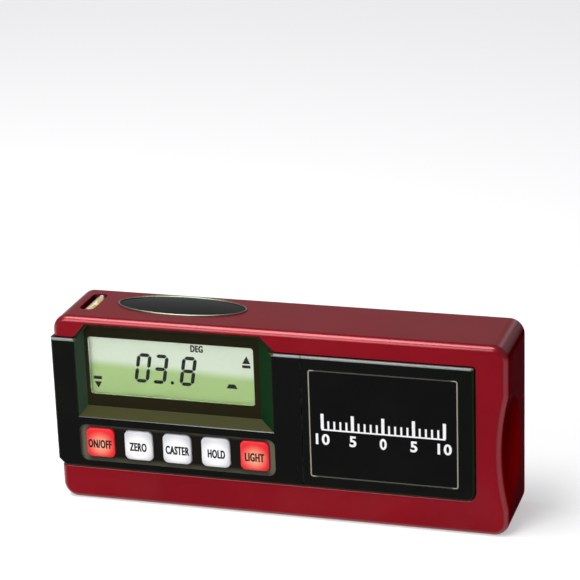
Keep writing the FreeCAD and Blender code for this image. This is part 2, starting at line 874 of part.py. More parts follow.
def vial_caps():
    """Plugs that close both ends of the vial."""
    plug = vial_radius - vial_wall - seat_gap
    caps = []
    for y0, y1 in ((-vial_half, -vial_half + vial_cap), (vial_half - vial_cap, vial_half)):
        caps.append(rod(vial_slot_x, vial_z, plug, vial_slot_y + y0, vial_slot_y + y1))
    return Part.makeCompound(caps)


def vial_fluid():
    """The liquid in the vial, with the bubble as a hollow in its top."""
    radius = vial_radius - vial_wall - seat_gap
    fluid = vial_bar(radius, vial_half - vial_cap - seat_gap)
    sphere_radius = (bubble_length**2 / 4 + bubble_depth**2) / (2 * bubble_depth)
    centre = Vector(vial_slot_x, vial_slot_y, vial_z + radius - bubble_depth + sphere_radius)
    return fluid.cut(Part.makeSphere(sphere_radius, centre))


def vial_bed():
    """Cradle under the vial, hollowed to its radius."""
    half_x = vial_slot_width / 2 - seat_gap
    half_y = vial_slot_length / 2 - seat_gap
    floor = vial_floor + seat_gap
    block = Part.makeBox(
        2 * half_x,
        2 * half_y,
        vial_bed_thickness + vial_radius / 2,
        Vector(vial_slot_x - half_x, vial_slot_y - half_y, floor),
    )
    block = rounded(block, vial_slot_radius, lambda e: abs(e.tangentAt(e.FirstParameter).z) > 0.9)
    return block.cut(vial_bar(vial_radius + seat_gap, vial_half + vial_slot_length))


def oval_badge():
    """Oval badge let into the top face, standing a little proud."""
    z0 = body_height - badge_sink + seat_gap
    return badge_oval(0, z0, z0 + badge_thickness)


pieces = {
    "housing": housing,
    "front_panel": front_panel,
    "battery_cover": battery_cover,
    "label_plate": label_plate,
    "oval_badge": oval_badge,
    "vial_tube": vial_tube,
    "vial_caps": vial_caps,
    "vial_fluid": vial_fluid,
    "vial_bed": vial_bed,
    "lcd_lens": lcd_lens,
    "lcd_glass": lcd_glass,
    "lcd_backlight": lcd_backlight,
    "lcd_holder": lcd_holder,
    "zebra_strip": zebra_strip,
    "key_switches": key_switches,
    "main_pcb": main_pcb,
    "pcb_screws": pcb_screws,
    "tilt_sensor": tilt_sensor,
    "sensor_clamp": sensor_clamp,
    "mcu_chip": mcu_chip,
    "crystal": crystal,
    "capacitors": capacitors,
    "power_header": power_header,
    "battery_tray": battery_tray,
    "battery_9v": battery,
    "battery_terminals": battery_terminals,
    "battery_snap": battery_snap,
    "battery_lead_red": lambda: battery_lead(1),
    "battery_lead_black": lambda: battery_lead(-1),
    "battery_foam": battery_foam,
    "rear_screws": rear_screws,
    "base_magnets": base_magnets,
}
for name, centre_x in zip(key_names, key_centres):
    pieces[name] = lambda x=centre_x: key(x)

os.makedirs("parts", exist_ok=True)
for name, build in pieces.items():
    shape = build()
    shape.exportStep(f"parts/{name}.step")
    print(f"{name}: {len(shape.Solids)} solids, {shape.Volume:.1f} mm3, valid {shape.isValid()}")
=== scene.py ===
"""The looks of a camber caster gauge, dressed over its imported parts. Lengths are in metres."""

import logging
import math
from dataclasses import dataclass, field, replace
from enum import Enum
from functools import cache

import bpy
import numpy as np
from mathutils import Matrix, Vector

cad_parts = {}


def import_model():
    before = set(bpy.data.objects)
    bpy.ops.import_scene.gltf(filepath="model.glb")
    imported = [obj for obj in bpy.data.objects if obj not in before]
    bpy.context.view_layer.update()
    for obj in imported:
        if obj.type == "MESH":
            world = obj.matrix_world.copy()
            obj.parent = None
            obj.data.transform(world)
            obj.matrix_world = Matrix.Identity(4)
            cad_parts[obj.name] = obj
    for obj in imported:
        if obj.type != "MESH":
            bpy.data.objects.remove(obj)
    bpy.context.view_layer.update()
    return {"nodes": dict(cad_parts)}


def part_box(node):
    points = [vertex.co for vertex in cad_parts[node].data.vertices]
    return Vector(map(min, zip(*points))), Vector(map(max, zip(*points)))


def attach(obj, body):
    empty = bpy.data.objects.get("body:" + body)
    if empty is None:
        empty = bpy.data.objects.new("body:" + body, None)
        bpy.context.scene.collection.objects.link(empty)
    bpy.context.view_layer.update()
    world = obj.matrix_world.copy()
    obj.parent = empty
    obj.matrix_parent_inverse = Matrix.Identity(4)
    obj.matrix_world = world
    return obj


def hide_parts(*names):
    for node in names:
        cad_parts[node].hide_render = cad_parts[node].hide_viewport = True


MM = 0.001
SHARP_ANGLE = 35.0  # edges that turn by more degrees than this stay sharp
PRINT_RISE = 0.03 * MM  # how far lettering stands out
LETTER_SPACING = 1.12
COPY_STEP = 0.001 * MM  # keeps widened copies of a character out of one plane
Colour = tuple[float, float, float]
Point = tuple[float, float, float]
Pair = tuple[float, float]
Socket = bpy.types.NodeSocket
Value = Socket | float | tuple
log = logging.getLogger("gauge")


class Body(Enum):
    """The bodies that new pieces ride on, apart from the keys."""

    MAIN = "body"
    COVER = "cover"


class Side(Enum):
    """Which way a bar of a digit runs."""

    ACROSS = 0
    UP = 1


def ink(red: int, green: int, blue: int) -> Colour:
    """Turns a screen colour of 0 to 255 into linear light, by the sRGB curve.

    Args:
        red: 0 to 255.
        green: 0 to 255.
        blue: 0 to 255.

    Returns:
        The colour as three shares of light.
    """
    shares = np.array((red, green, blue)) / 255
    lit = np.where(shares <= 0.04045, shares / 12.92, ((shares + 0.055) / 1.055) ** 2.4)
    return tuple(float(share) for share in lit)


class Graph:
    """Adds nodes to one shader tree and links them."""

    def __init__(self, tree: bpy.types.NodeTree) -> None:
        """Keeps the tree that the nodes go into."""
        self.tree = tree

    def feed(self, socket: Socket, value: Value) -> None:
        """Links a socket to another, or sets it to a number, vector or colour.

        Args:
            socket: the input.
            value: an output, or what to set the input to.
        """
        if isinstance(value, bpy.types.NodeSocket):
            self.tree.links.new(value, socket)
        elif isinstance(value, tuple) and len(socket.default_value) == 4:
            socket.default_value = (*value, 1.0)
        else:
            socket.default_value = value

    def add(self, kind: str, inputs: dict | None = None, **settings: object) -> bpy.types.Node:
        """Adds one node.

        Args:
            kind: Blender's name of the node, without ShaderNode in front.
            inputs: values or sockets, by the input's name or number.
            settings: the node's own properties.

        Returns:
            The new node.
        """
        node = self.tree.nodes.new(f"ShaderNode{kind}")
        for name, value in settings.items():
            setattr(node, name, value)
        for name, value in (inputs or {}).items():
            self.feed(node.inputs[name], value)
        return node

    def calc(self, operation: str, first: Value, second: Value = 0.0) -> Socket:
        """Returns the result of one Math node."""
        return self.add("Math", {0: first, 1: second}, operation=operation).outputs[0]

    def magnitude(self, value: Value) -> Socket:
        """Returns a value without its sign."""
        return self.calc("ABSOLUTE", value)

    def invert(self, value: Value) -> Socket:
        """Returns 1 less a value."""
        return self.calc("SUBTRACT", 1.0, value)

    def times(self, first: Value, second: Value) -> Socket:
        """Returns the product of two values."""
        return self.calc("MULTIPLY", first, second)

    def step(self, value: Value, start: float, end: float) -> Socket:
        """Returns a smooth step that is 0 at start and 1 at end."""
        limits = {"Value": value, "From Min": start, "From Max": end}
        return self.add("MapRange", limits, interpolation_type="SMOOTHSTEP").outputs[0]

    def span(self, value: Value, low: float, high: float) -> Socket:
        """Returns a value of 0 to 1 spread over low to high."""
        return self.add("MapRange", {"Value": value, "To Min": low, "To Max": high}).outputs[0]

    def mix(self, share: Value, first: Value, second: Value) -> Socket:
        """Returns the first colour, mixed with a share of the second."""
        return self.add("Mix", {0: share, 6: first, 7: second}, data_type="RGBA").outputs[2]

    def point(self, centre: Point = (0, 0, 0), scale: Point = (1, 1, 1)) -> Socket:
        """Returns Object coordinates, measured from a centre and then stretched along each axis.

        Args:
            centre: the point that becomes the origin.
            scale: how much each axis is stretched.

        Returns:
            The vector.
        """
        source = self.add("TexCoord").outputs["Object"]
        shift = tuple(-c * s for c, s in zip(centre, scale))
        return self.add("Mapping", {"Vector": source, "Location": shift, "Scale": scale}).outputs[0]

    def parts(self, vector: Socket) -> tuple[Socket, Socket, Socket]:
        """Returns a vector's X, Y and Z."""
        return tuple(self.add("SeparateXYZ", {0: vector}).outputs)

    def normal(self) -> tuple[Socket, Socket, Socket]:
        """Returns X, Y and Z of the way that the surface faces."""
        return self.parts(self.add("NewGeometry").outputs["Normal"])

    def noise(self, vector: Socket, scale: Value, detail: float = 3.0) -> Socket:
        """Returns soft noise of 0 to 1."""
        return self.add("TexNoise", {"Vector": vector, "Scale": scale, "Detail": detail}).outputs[0]

    def group(self, tree: bpy.types.NodeTree, **inputs: Value) -> bpy.types.Node:
        """Places a shared effect and sets its inputs by name.

        Args:
            tree: the group.
            inputs: values or sockets, by the input's name in small letters.

        Returns:
            The node.
        """
        node = self.add("Group", node_tree=tree)
        for name, value in inputs.items():
            self.feed(node.inputs[name.replace("_", " ").title()], value)
        return node


def shared_effect(name: str, inputs: dict[str, float | None], outputs: tuple[str, ...]) -> tuple:
    """Starts a shader node group.

    Args:
        name: the group's name.
        inputs: each input's name with its default, or None for a vector.
        outputs: the names of the outputs, all of them numbers.

    Returns:
        The tree, its graph, its input node and its output node.
    """
    tree = bpy.data.node_groups.new(name, "ShaderNodeTree")
    for label, default in inputs.items():
        kind = "NodeSocketVector" if default is None else "NodeSocketFloat"
        socket = tree.interface.new_socket(label, in_out="INPUT", socket_type=kind)
        if default is not None:
            socket.default_value = default
    for label in outputs:
        tree.interface.new_socket(label, in_out="OUTPUT", socket_type="NodeSocketFloat")
    return tree, Graph(tree), tree.nodes.new("NodeGroupInput"), tree.nodes.new("NodeGroupOutput")


class Effects:
    """The effects that several finishes share, each a node group that is built once."""

    @staticmethod
    @cache
    def grain() -> bpy.types.NodeTree:
        """Fine grain: noise of one scale, with slower blotches that change its shade.

        Returns:
            The group, which puts out a shade and a height.
        """
        named = {"Vector": None, "Scale": 4000.0, "Blotch Scale": 60.0, "Contrast": 0.5}
        tree, graph, given, out = shared_effect("fine_grain", named, ("Shade", "Height"))
        fine = graph.noise(given.outputs["Vector"], given.outputs["Scale"])
        slow = graph.noise(given.outputs["Vector"], given.outputs["Blotch Scale"], 2.0)
        both = graph.calc("ADD", graph.times(fine, 0.4), graph.times(slow, 0.6))
        spread = graph.times(graph.calc("SUBTRACT", both, 0.5), given.outputs["Contrast"])
        graph.feed(out.inputs["Shade"], graph.calc("ADD", graph.times(spread, 2.0), 0.5))
        graph.feed(out.inputs["Height"], fine)
        return tree

    @staticmethod
    @cache
    def wear() -> bpy.types.NodeTree:
        """Edge wear and painted edge highlight: where the surface turns within a small radius,
        broken up by noise.

        The turn is read from the dot product of the true normal and one rounded over the radius.

        Returns:
            The group, which puts out a mask.
        """
        named = {"Vector": None, "Radius": 0.0003, "Amount": 0.5}
        tree, graph, given, out = shared_effect("edge_wear_and_highlight", named, ("Mask",))
        soft = graph.add("Bevel", {"Radius": given.outputs["Radius"]}, samples=4).outputs[0]
        flat = graph.add("NewGeometry").outputs["Normal"]
        alike = graph.add("VectorMath", {0: soft, 1: flat}, operation="DOT_PRODUCT")
        turn = graph.step(alike.outputs["Value"], 0.99, 0.8)
        broken = graph.step(graph.noise(given.outputs["Vector"], 900.0, 4.0), 0.42, 0.62)
        mask = graph.times(graph.times(turn, broken), given.outputs["Amount"])
        graph.feed(out.inputs["Mask"], mask)
        return tree

    @staticmethod
    @cache
    def dust() -> bpy.types.NodeTree:
        """A thin film of dust and finger marks: patches of noise, and more of it facing up.

        Returns:
            The group, which puts out a mask.
        """
        named = {"Vector": None, "Amount": 0.2}
        tree, graph, given, out = shared_effect("dust_film", named, ("Mask",))
        patches = graph.step(graph.noise(given.outputs["Vector"], 45.0, 6.0), 0.45, 0.75)
        up = {"Value": graph.normal()[2], "From Min": -1.0, "To Min": 0.3}
        share = graph.add("MapRange", up).outputs[0]
        mask = graph.times(graph.times(patches, share), given.outputs["Amount"])
        graph.feed(out.inputs["Mask"], mask)
        return tree


@dataclass(frozen=True)
class Finish:
    """A surface finish: a name, its colour and the plain values of its shader."""

    name: str
    colour: Colour = (0.5, 0.5, 0.5)
    roughness: float = 0.4
    metallic: float = 0.0
    specular: float = 0.5
    coat: float = 0.0
    coat_roughness: float = 0.1

    def material(self) -> bpy.types.Material:
        """Builds the finish as a material, or finds the one already made under its name.

        Returns:
            The material.
        """
        known = bpy.data.materials.get(f"finish_{self.name}")
        if known:
            return known
        made = bpy.data.materials.new(f"finish_{self.name}")
        made.use_nodes = True
        made.node_tree.nodes.clear()
        graph = Graph(made.node_tree)
        plain = {
            "Base Color": self.colour,
            "Roughness": self.roughness,
            "Metallic": self.metallic,
            "Specular IOR Level": self.specular,
            "Coat Weight": self.coat,
            "Coat Roughness": self.coat_roughness,
        }
        shader = graph.add("BsdfPrincipled", plain)
        graph.add("OutputMaterial", {"Surface": shader.outputs[0]})
        self.shade(graph, shader)
        return made

    def shade(self, graph: Graph, shader: bpy.types.Node) -> None:
        """Adds what is special to the finish; the plain one adds nothing."""

    def bump(self, graph: Graph, shader: bpy.types.Node, height: Socket, distance: float) -> None:
        """Raises the surface by a height of 0 to 1, over a distance in metres."""
        bump = graph.add("Bump", {"Height": height, "Distance": distance, "Strength": 1.0})
        graph.feed(shader.inputs["Normal"], bump.outputs[0])


@dataclass(frozen=True)
class Moulded(Finish):
    """A moulded plastic: fine texture, slow changes of shade, lightened edges that show wear and,
    on the gloss black, a painted highlight, and a film of dust.
    """

    second: Colour = (0.5, 0.5, 0.5)
    worn: Colour = (0.6, 0.6, 0.6)
    wear: float = 0.3
    dust: float = 0.15
    grain_scale: float = 5000.0
    grain_depth: float = 0.004 * MM
    stretch: Point = (1, 1, 1)
    film: Colour = ink(150, 145, 138)
    film_dulling: float = 0.8
    wear_dulling: float = 0.2

    def base(self, graph: Graph, place: Socket, shade: Socket) -> Socket:
        """Returns the colour before wear and dust."""
        return graph.mix(shade, self.colour, self.second)

    def rough(self, graph: Graph, place: Socket) -> Value:
        """Returns the roughness before wear and dust."""
        return self.roughness

    def shade(self, graph: Graph, shader: bpy.types.Node) -> None:
        """Mixes two shades by the grain, lightens the edges for wear and painted highlight, and
        dulls the surface with dust.

        Args:
            graph: the material's graph.
            shader: its Principled shader.
        """
        place = graph.point(scale=self.stretch)
        grain = graph.group(Effects.grain(), vector=place, scale=self.grain_scale)
        colour = self.base(graph, graph.point(), grain.outputs["Shade"])
        worn = graph.group(Effects.wear(), vector=place, amount=self.wear).outputs["Mask"]
        film = graph.group(Effects.dust(), vector=graph.point(), amount=self.dust).outputs["Mask"]
        colour = graph.mix(worn, colour, self.worn)
        graph.feed(shader.inputs["Base Color"], graph.mix(film, colour, self.film))
        dulled = graph.times(film, self.film_dulling)
        rough = graph.calc("ADD", self.rough(graph, graph.point()), dulled)
        rough = graph.calc("ADD", rough, graph.times(worn, self.wear_dulling))
        graph.feed(shader.inputs["Roughness"], rough)
        self.bump(graph, shader, grain.outputs["Height"], self.grain_depth)


@dataclass(frozen=True)
class FrontBlack(Moulded):
    """Gloss black that turns satin in the display recess, with a painted grey highlight at the key
    recess's ends.

    Each pair of limits is where a mask starts and where it ends.
    """

    face: float = -15.0 * MM
    sunk_limits: Pair = (0.04 * MM, 0.3 * MM)
    split_height: float = 28.6 * MM
    split_blur: float = 0.1 * MM
    row_middle: float = -34.0 * MM
    row_half: float = 33.8 * MM
    row_height: float = 21.0 * MM
    row_half_height: float = 6.4 * MM
    beside_limits: Pair = (0.6 * MM, 0.4 * MM)
    below_limits: Pair = (7.2 * MM, 7.0 * MM)
    pale_end_limits: Pair = (5.0 * MM, 1.2 * MM)
    pale_rim: float = 1.8 * MM
    pale_rim_share: float = 0.55
    recess_floor: Colour = ink(30, 27, 9)
    # Painted light and reflections on the display recess's walls, one colour for each way that they
    # face.
    recess_bottom: Colour = ink(58, 58, 26)
    recess_left: Colour = ink(52, 74, 56)
    recess_right: Colour = ink(3, 42, 12)
    tray_dark: Colour = ink(18, 17, 12)
    # The pale colour is a painted highlight on the key recess's ends and rims.
    tray_pale: Colour = ink(100, 98, 83)
    # Painted reflections on sides that face right and down, and a painted highlight on the bevels.
    right_tint: Colour = ink(6, 46, 16)
    foot_tint: Colour = ink(48, 64, 48)
    bevel_tint: Colour = ink(92, 96, 92)
    satin: float = 0.42
    bevel_coat: float = 0.8

    def masks(self, graph: Graph, place: Socket) -> tuple[Socket, Socket]:
        """Tells both recesses from the face by how deep, how high and how far along a place lies.

        Args:
            graph: the material's graph.
            place: Object coordinates.

        Returns:
            The display recess and the key recess, each as 1 inside it and 0 outside.
        """
        across, depth, height = graph.parts(place)
        split, blur = self.split_height, self.split_blur
        above = graph.step(height, split - blur, split + blur)
        off = graph.magnitude(graph.calc("SUBTRACT", across, self.row_middle))
        within = graph.step(off, *(self.row_half + limit for limit in self.beside_limits))
        sunk = graph.step(depth, *(self.face + limit for limit in self.sunk_limits))
        sunk = graph.times(sunk, within)
        low = graph.step(height, *(self.row_height - limit for limit in self.below_limits))
        below = graph.times(graph.invert(above), low)
        return graph.times(above, sunk), graph.times(below, sunk)

    def recess(self, graph: Graph) -> Socket:
        """Returns the display recess's colours: one for each way that its walls face, which paints
        light and reflections on the walls.

        Args:
            graph: the material's graph.

        Returns:
            The colour.
        """
        across, _, rise = graph.normal()
        wall = graph.mix(graph.step(rise, 0.2, 0.5), self.recess_floor, self.recess_bottom)
        wall = graph.mix(graph.step(across, 0.15, 0.5), wall, self.recess_left)
        return graph.mix(graph.step(across, -0.15, -0.5), wall, self.recess_right)

    def tray(self, graph: Graph, place: Socket) -> Socket:
        """Paints highlights on the key recess's ends and rims, and leaves it dark in the middle.

        Args:
            graph: the material's graph.
            place: Object coordinates.

        Returns:
            The colour.
        """
        x, _, z = graph.parts(place)
        beyond = graph.magnitude(graph.calc("SUBTRACT", x, self.row_middle))
        ends = graph.step(beyond, *(self.row_half - limit for limit in self.pale_end_limits))
        off = graph.magnitude(graph.calc("SUBTRACT", z, self.row_height))
        rims = graph.step(off, self.row_half_height - self.pale_rim, self.row_half_height)
        pale = graph.calc("MAXIMUM", ends, graph.times(rims, self.pale_rim_share))
        return graph.mix(pale, self.tray_dark, self.tray_pale)

    def base(self, graph: Graph, place: Socket, shade: Socket) -> Socket:
        """Mixes the black with olive in the display recess and a painted grey highlight round the
        keys, with painted reflections on sides facing right and down and a painted highlight on
        up-facing bevels.

        Args:
            graph: the material's graph.
            place: Object coordinates.
            shade: the grain's shade.

        Returns:
            The colour before wear and dust.
        """
        display, keys = self.masks(graph, place)
        across, _, rise = graph.normal()
        plain = graph.mix(shade, self.colour, self.second)
        # Painted reflections on the sides facing right and down, and a painted highlight on the
        # bevels.
        plain = graph.mix(graph.step(across, 0.3, 0.8), plain, self.right_tint)
        plain = graph.mix(graph.step(rise, -0.3, -0.8), plain, self.foot_tint)
        plain = graph.mix(self.bevel(graph, display), plain, self.bevel_tint)
        sunk = graph.mix(display, plain, self.recess(graph))
        return graph.mix(keys, sunk, self.tray(graph, place))

    def bevel(self, graph: Graph, display: Socket) -> Socket:
        """Finds the bevels that face up and forward, outside the display recess, where a highlight
        is painted and a coat added.

        Args:
            graph: the material's graph.
            display: the display recess's mask.

        Returns:
            A mask of 0 to 1.
        """
        _, ahead, rise = graph.normal()
        up = graph.times(graph.step(rise, 0.25, 0.5), graph.step(ahead, -0.15, -0.4))
        return graph.times(up, graph.invert(display))

    def shade(self, graph: Graph, shader: bpy.types.Node) -> None:
        """Adds a bright lacquer on the bevels that catch the light.

        Args:
            graph: the material's graph.
            shader: its Principled shader.
        """
        super().shade(graph, shader)
        display = self.masks(graph, graph.point())[0]
        lacquer = graph.times(self.bevel(graph, display), self.bevel_coat)
        graph.feed(shader.inputs["Coat Weight"], lacquer)

    def rough(self, graph: Graph, place: Socket) -> Value:
        """Makes both recesses satin.

        Args:
            graph: the material's graph.
            place: Object coordinates.

        Returns:
            The roughness before wear and dust.
        """
        display, keys = self.masks(graph, place)
        inside = graph.calc("MAXIMUM", display, keys)
        return graph.span(inside, self.roughness, self.satin)


@dataclass(frozen=True)
class Anodised(Finish):
    """Blasted and dyed aluminium: fine sparkle, slow blotches, bright edges that show wear and a
    painted pink highlight.
    """

    deep: Colour = (0.1, 0.0, 0.0)
    worn: Colour = (0.8, 0.5, 0.5)
    film: Colour = ink(170, 150, 150)
    edge_tint: Colour = (0.1, 0.03, 0.08)
    edge_coat: float = 0.8
    wear: float = 0.2
    wear_radius: float = 0.4 * MM
    dust: float = 0.025
    film_dulling: float = 0.5
    roughness_spread: float = 0.06
    grain_scale: float = 3500.0
    blotch_scale: float = 35.0
    contrast: float = 0.6
    grain_depth: float = 0.006 * MM

    def sheen(self, graph: Graph, shader: bpy.types.Node) -> None:
        """Gives the rounded edges more coat than the flats, to brighten their highlight, and the
        ends none and full metal, which darkens them as a stand-in for shade.

        Args:
            graph: the material's graph.
            shader: its Principled shader.
        """
        sides = [graph.magnitude(side) for side in graph.normal()]
        flat = graph.calc("MAXIMUM", graph.calc("MAXIMUM", sides[0], sides[1]), sides[2])
        edge = graph.span(graph.step(flat, 0.99, 0.9), self.coat, self.edge_coat)
        end = graph.step(sides[0], 0.7, 0.95)
        graph.feed(shader.inputs["Coat Weight"], graph.times(edge, graph.invert(end)))
        graph.feed(shader.inputs["Metallic"], graph.span(end, self.metallic, 1.0))

    def shade(self, graph: Graph, shader: bpy.types.Node) -> None:
        """Mixes the deep and the light dye by the grain and dents the surface with it.

        Args:
            graph: the material's graph.
            shader: its Principled shader.
        """
        graph.feed(shader.inputs["Specular Tint"], self.edge_tint)
        self.sheen(graph, shader)
        place = graph.point()
        scales = {"scale": self.grain_scale, "blotch_scale": self.blotch_scale}
        grain = graph.group(Effects.grain(), vector=place, contrast=self.contrast, **scales)
        worn = graph.group(Effects.wear(), vector=place, radius=self.wear_radius, amount=self.wear)
        film = graph.group(Effects.dust(), vector=place, amount=self.dust).outputs["Mask"]
        dyed = graph.mix(grain.outputs["Shade"], self.deep, self.colour)
        dyed = graph.mix(worn.outputs["Mask"], dyed, self.worn)
        graph.feed(shader.inputs["Base Color"], graph.mix(film, dyed, self.film))
        spread = self.roughness_spread
        rough = graph.span(grain.outputs["Shade"], self.roughness - spread, self.roughness + spread)
        rough = graph.calc("ADD", rough, graph.times(film, self.film_dulling))
        graph.feed(shader.inputs["Roughness"], rough)
        self.bump(graph, shader, grain.outputs["Height"], self.grain_depth)


@dataclass(frozen=True)
class BareMetal(Finish):
    """Turned, drawn or plated metal: tool marks along one axis and stains."""

    stretch: Point = (1, 1, 20)
    mark_scale: float = 1500.0
    mark_depth: float = 0.003 * MM
    stain: Colour = (0.3, 0.25, 0.2)

    def shade(self, graph: Graph, shader: bpy.types.Node) -> None:
        """Draws marks with stretched noise in colour, roughness and height.

        Args:
            graph: the material's graph.
            shader: its Principled shader.
        """
        marks = graph.noise(graph.point(scale=self.stretch), self.mark_scale, 4.0)
        stains = graph.step(graph.noise(graph.point(), 180.0, 5.0), 0.5, 0.8)
        lined = graph.mix(graph.span(marks, 0.0, 0.35), self.colour, self.stain)
        lined = graph.mix(graph.times(stains, 0.4), lined, self.stain)
        graph.feed(shader.inputs["Base Color"], lined)
        rough = graph.span(marks, self.roughness - 0.08, self.roughness + 0.12)
        graph.feed(shader.inputs["Roughness"], rough)
        self.bump(graph, shader, marks, self.mark_depth)


@dataclass(frozen=True)
class KeyFinish(Finish):
    """A key cap with a painted highlight: pale in the middle, full colour towards its edges."""

    middle: Colour = (1, 1, 1)
    centre: Point = (0, 0, 0)
    core: float = 0.0
    reach: float = 5.4 * MM
    drop: float = 0.6 * MM
    speckle: float = 0.03
    dust: float = 0.2
    grain_scale: float = 6000.0
    grain_depth: float = 0.002 * MM

    def shade(self, graph: Graph, shader: bpy.types.Node) -> None:
        """Paints the highlight by grading the colour by the distance from a point a little under
        the key's middle.

        Args:
            graph: the material's graph.
            shader: its Principled shader.
        """
        centre = (self.centre[0], self.centre[1], self.centre[2] - self.drop)
        x, _, z = graph.parts(graph.point(centre))
        away = graph.calc("SQRT", graph.calc("ADD", graph.times(x, x), graph.times(z, z)))
        share = graph.step(away, self.core, self.reach)
        place = graph.point()
        grain = graph.group(Effects.grain(), vector=place, scale=self.grain_scale, contrast=0.3)
        graded = graph.mix(share, self.middle, self.colour)
        speckled = graph.mix(self.speckle, graded, grain.outputs["Shade"])
        graph.feed(shader.inputs["Base Color"], speckled)
        film = graph.group(Effects.dust(), vector=place, amount=self.dust).outputs["Mask"]
        graph.feed(shader.inputs["Roughness"], graph.calc("ADD", film, self.roughness))
        self.bump(graph, shader, grain.outputs["Height"], self.grain_depth)


@dataclass(frozen=True)
class CellFinish(Finish):
    """The face of the display cell: grey-green above a soft slanting line and greener below it."""

    lower: Colour = (0.3, 0.5, 0.2)
    mottle: Colour = ink(120, 150, 110)
    line_place: Pair = (-60 * MM, 48.0 * MM)
    line_fall: float = 0.03
    softness: float = 1.9 * MM
    glow: float = 0.3

    def shade(self, graph: Graph, shader: bpy.types.Node) -> None:
        """Steps from one colour to the other across the line, with a faint mottling.

        Args:
            graph: the material's graph.
            shader: its Principled shader.
        """
        x, _, z = graph.parts(graph.point((self.line_place[0], 0, self.line_place[1])))
        over = graph.calc("ADD", z, graph.times(x, self.line_fall))
        share = graph.step(over, -self.softness, self.softness)
        mottled = graph.noise(graph.point(), 700.0, 5.0)
        colour = graph.mix(share, self.lower, self.colour)
        colour = graph.mix(graph.span(mottled, 0.0, 0.12), colour, self.mottle)
        graph.feed(shader.inputs["Base Color"], colour)
        # A painted glow: the cell gives light of its own, making up for the light that the lens
        # holds back.
        graph.feed(shader.inputs["Emission Color"], colour)
        shader.inputs["Emission Strength"].default_value = self.glow


@dataclass(frozen=True)
class Clear(Finish):
    """Clear plastic or glass, with faint scuffs."""

    index: float = 1.49
    scuff: float = 0.05

    def shade(self, graph: Graph, shader: bpy.types.Node) -> None:
        """Lets light through, and roughens the surface a little where it is scuffed.

        Args:
            graph: the material's graph.
            shader: its Principled shader.
        """
        shader.inputs["Transmission Weight"].default_value = 1.0
        shader.inputs["IOR"].default_value = self.index
        scuffs = graph.step(graph.noise(graph.point(scale=(1, 1, 6)), 400.0, 6.0), 0.6, 0.9)
        rough = graph.span(scuffs, self.roughness, self.roughness + self.scuff)
        graph.feed(shader.inputs["Roughness"], rough)


@dataclass(frozen=True)
class Board(Finish):
    """A circuit board: green mask over copper tracks, with pads."""

    track: Colour = (0.02, 0.2, 0.06)
    pad: Colour = ink(190, 180, 150)
    relief: float = 0.02 * MM

    def shade(self, graph: Graph, shader: bpy.types.Node) -> None:
        """Draws tracks with the joints of a brick pattern, and pads with cells.

        Args:
            graph: the material's graph.
            shader: its Principled shader.
        """
        place = graph.point(scale=(1, 0, 1))
        turned = graph.add("Mapping", {"Vector": place, "Rotation": (math.pi / 2, 0, 0)}).outputs[0]
        lines = {"Vector": turned, "Scale": 160.0, "Mortar Size": 0.03, "Mortar Smooth": 0.1}
        tracks = graph.add("TexBrick", lines, offset=0.37).outputs["Fac"]
        cells = graph.add("TexVoronoi", {"Vector": place, "Scale": 260.0}).outputs["Distance"]
        pads = graph.step(cells, 0.2, 0.16)
        masked = graph.mix(tracks, self.colour, self.track)
        graph.feed(shader.inputs["Base Color"], graph.mix(pads, masked, self.pad))
        graph.feed(shader.inputs["Metallic"], pads)
        self.bump(graph, shader, graph.calc("MAXIMUM", tracks, pads), self.relief)


@dataclass(frozen=True)
class Banded(Finish):
    """A surface with bands across one axis, such as a battery jacket or a striped connector."""

    second: Colour = (0.1, 0.1, 0.1)
    scratch: Colour = (0.2, 0.2, 0.2)
    scratch_depth: float = 0.004 * MM
    axis: int = 0
    start: float = 0.0
    width: float = 1.0
    bands: float = 1.0
    share: float = 0.5

    def shade(self, graph: Graph, shader: bpy.types.Node) -> None:
        """Repeats the bands by the fraction of the place along the axis, and adds fine scratches.

        Args:
            graph: the material's graph.
            shader: its Principled shader.
        """
        place = graph.parts(graph.point())[self.axis]
        along = graph.calc("DIVIDE", graph.calc("SUBTRACT", place, self.start), self.width)
        phase = graph.calc("FRACT", graph.times(along, self.bands))
        band = graph.step(phase, self.share - 0.01, self.share + 0.01)
        scratches = graph.noise(graph.point(scale=(1, 8, 8)), 500.0, 6.0)
        banded = graph.mix(band, self.colour, self.second)
        scratched = graph.mix(graph.span(scratches, 0.0, 0.2), banded, self.scratch)
        graph.feed(shader.inputs["Base Color"], scratched)
        rough = graph.span(scratches, self.roughness, self.roughness + 0.15)
        graph.feed(shader.inputs["Roughness"], rough)
        self.bump(graph, shader, scratches, self.scratch_depth)


@dataclass(frozen=True)
class Foam(Finish):
    """Open cell foam."""

    cell_depth: float = 0.2 * MM

    def shade(self, graph: Graph, shader: bpy.types.Node) -> None:
        """Sinks round cells into the surface and darkens them with painted shade.

        Args:
            graph: the material's graph.
            shader: its Principled shader.
        """
        cells = graph.add("TexVoronoi", {"Vector": graph.point(), "Scale": 1600.0})
        open_share = graph.step(cells.outputs["Distance"], 0.5, 0.1)
        dark = tuple(share * 0.25 for share in self.colour)
        graph.feed(shader.inputs["Base Color"], graph.mix(open_share, self.colour, dark))
        self.bump(graph, shader, graph.invert(open_share), self.cell_depth)


@dataclass(frozen=True)
class Printed(Finish):
    """Printing ink, with tiny gaps where it missed the surface."""

    gap_depth: float = 0.002 * MM

    def shade(self, graph: Graph, shader: bpy.types.Node) -> None:
        """Speckles the ink with fine noise.

        Args:
            graph: the material's graph.
            shader: its Principled shader.
        """
        gaps = graph.step(graph.noise(graph.point(), 5000.0, 4.0), 0.62, 0.8)
        dull = tuple(share * 0.6 + 0.02 for share in self.colour)
        graph.feed(shader.inputs["Base Color"], graph.mix(gaps, self.colour, dull))
        self.bump(graph, shader, gaps, self.gap_depth)


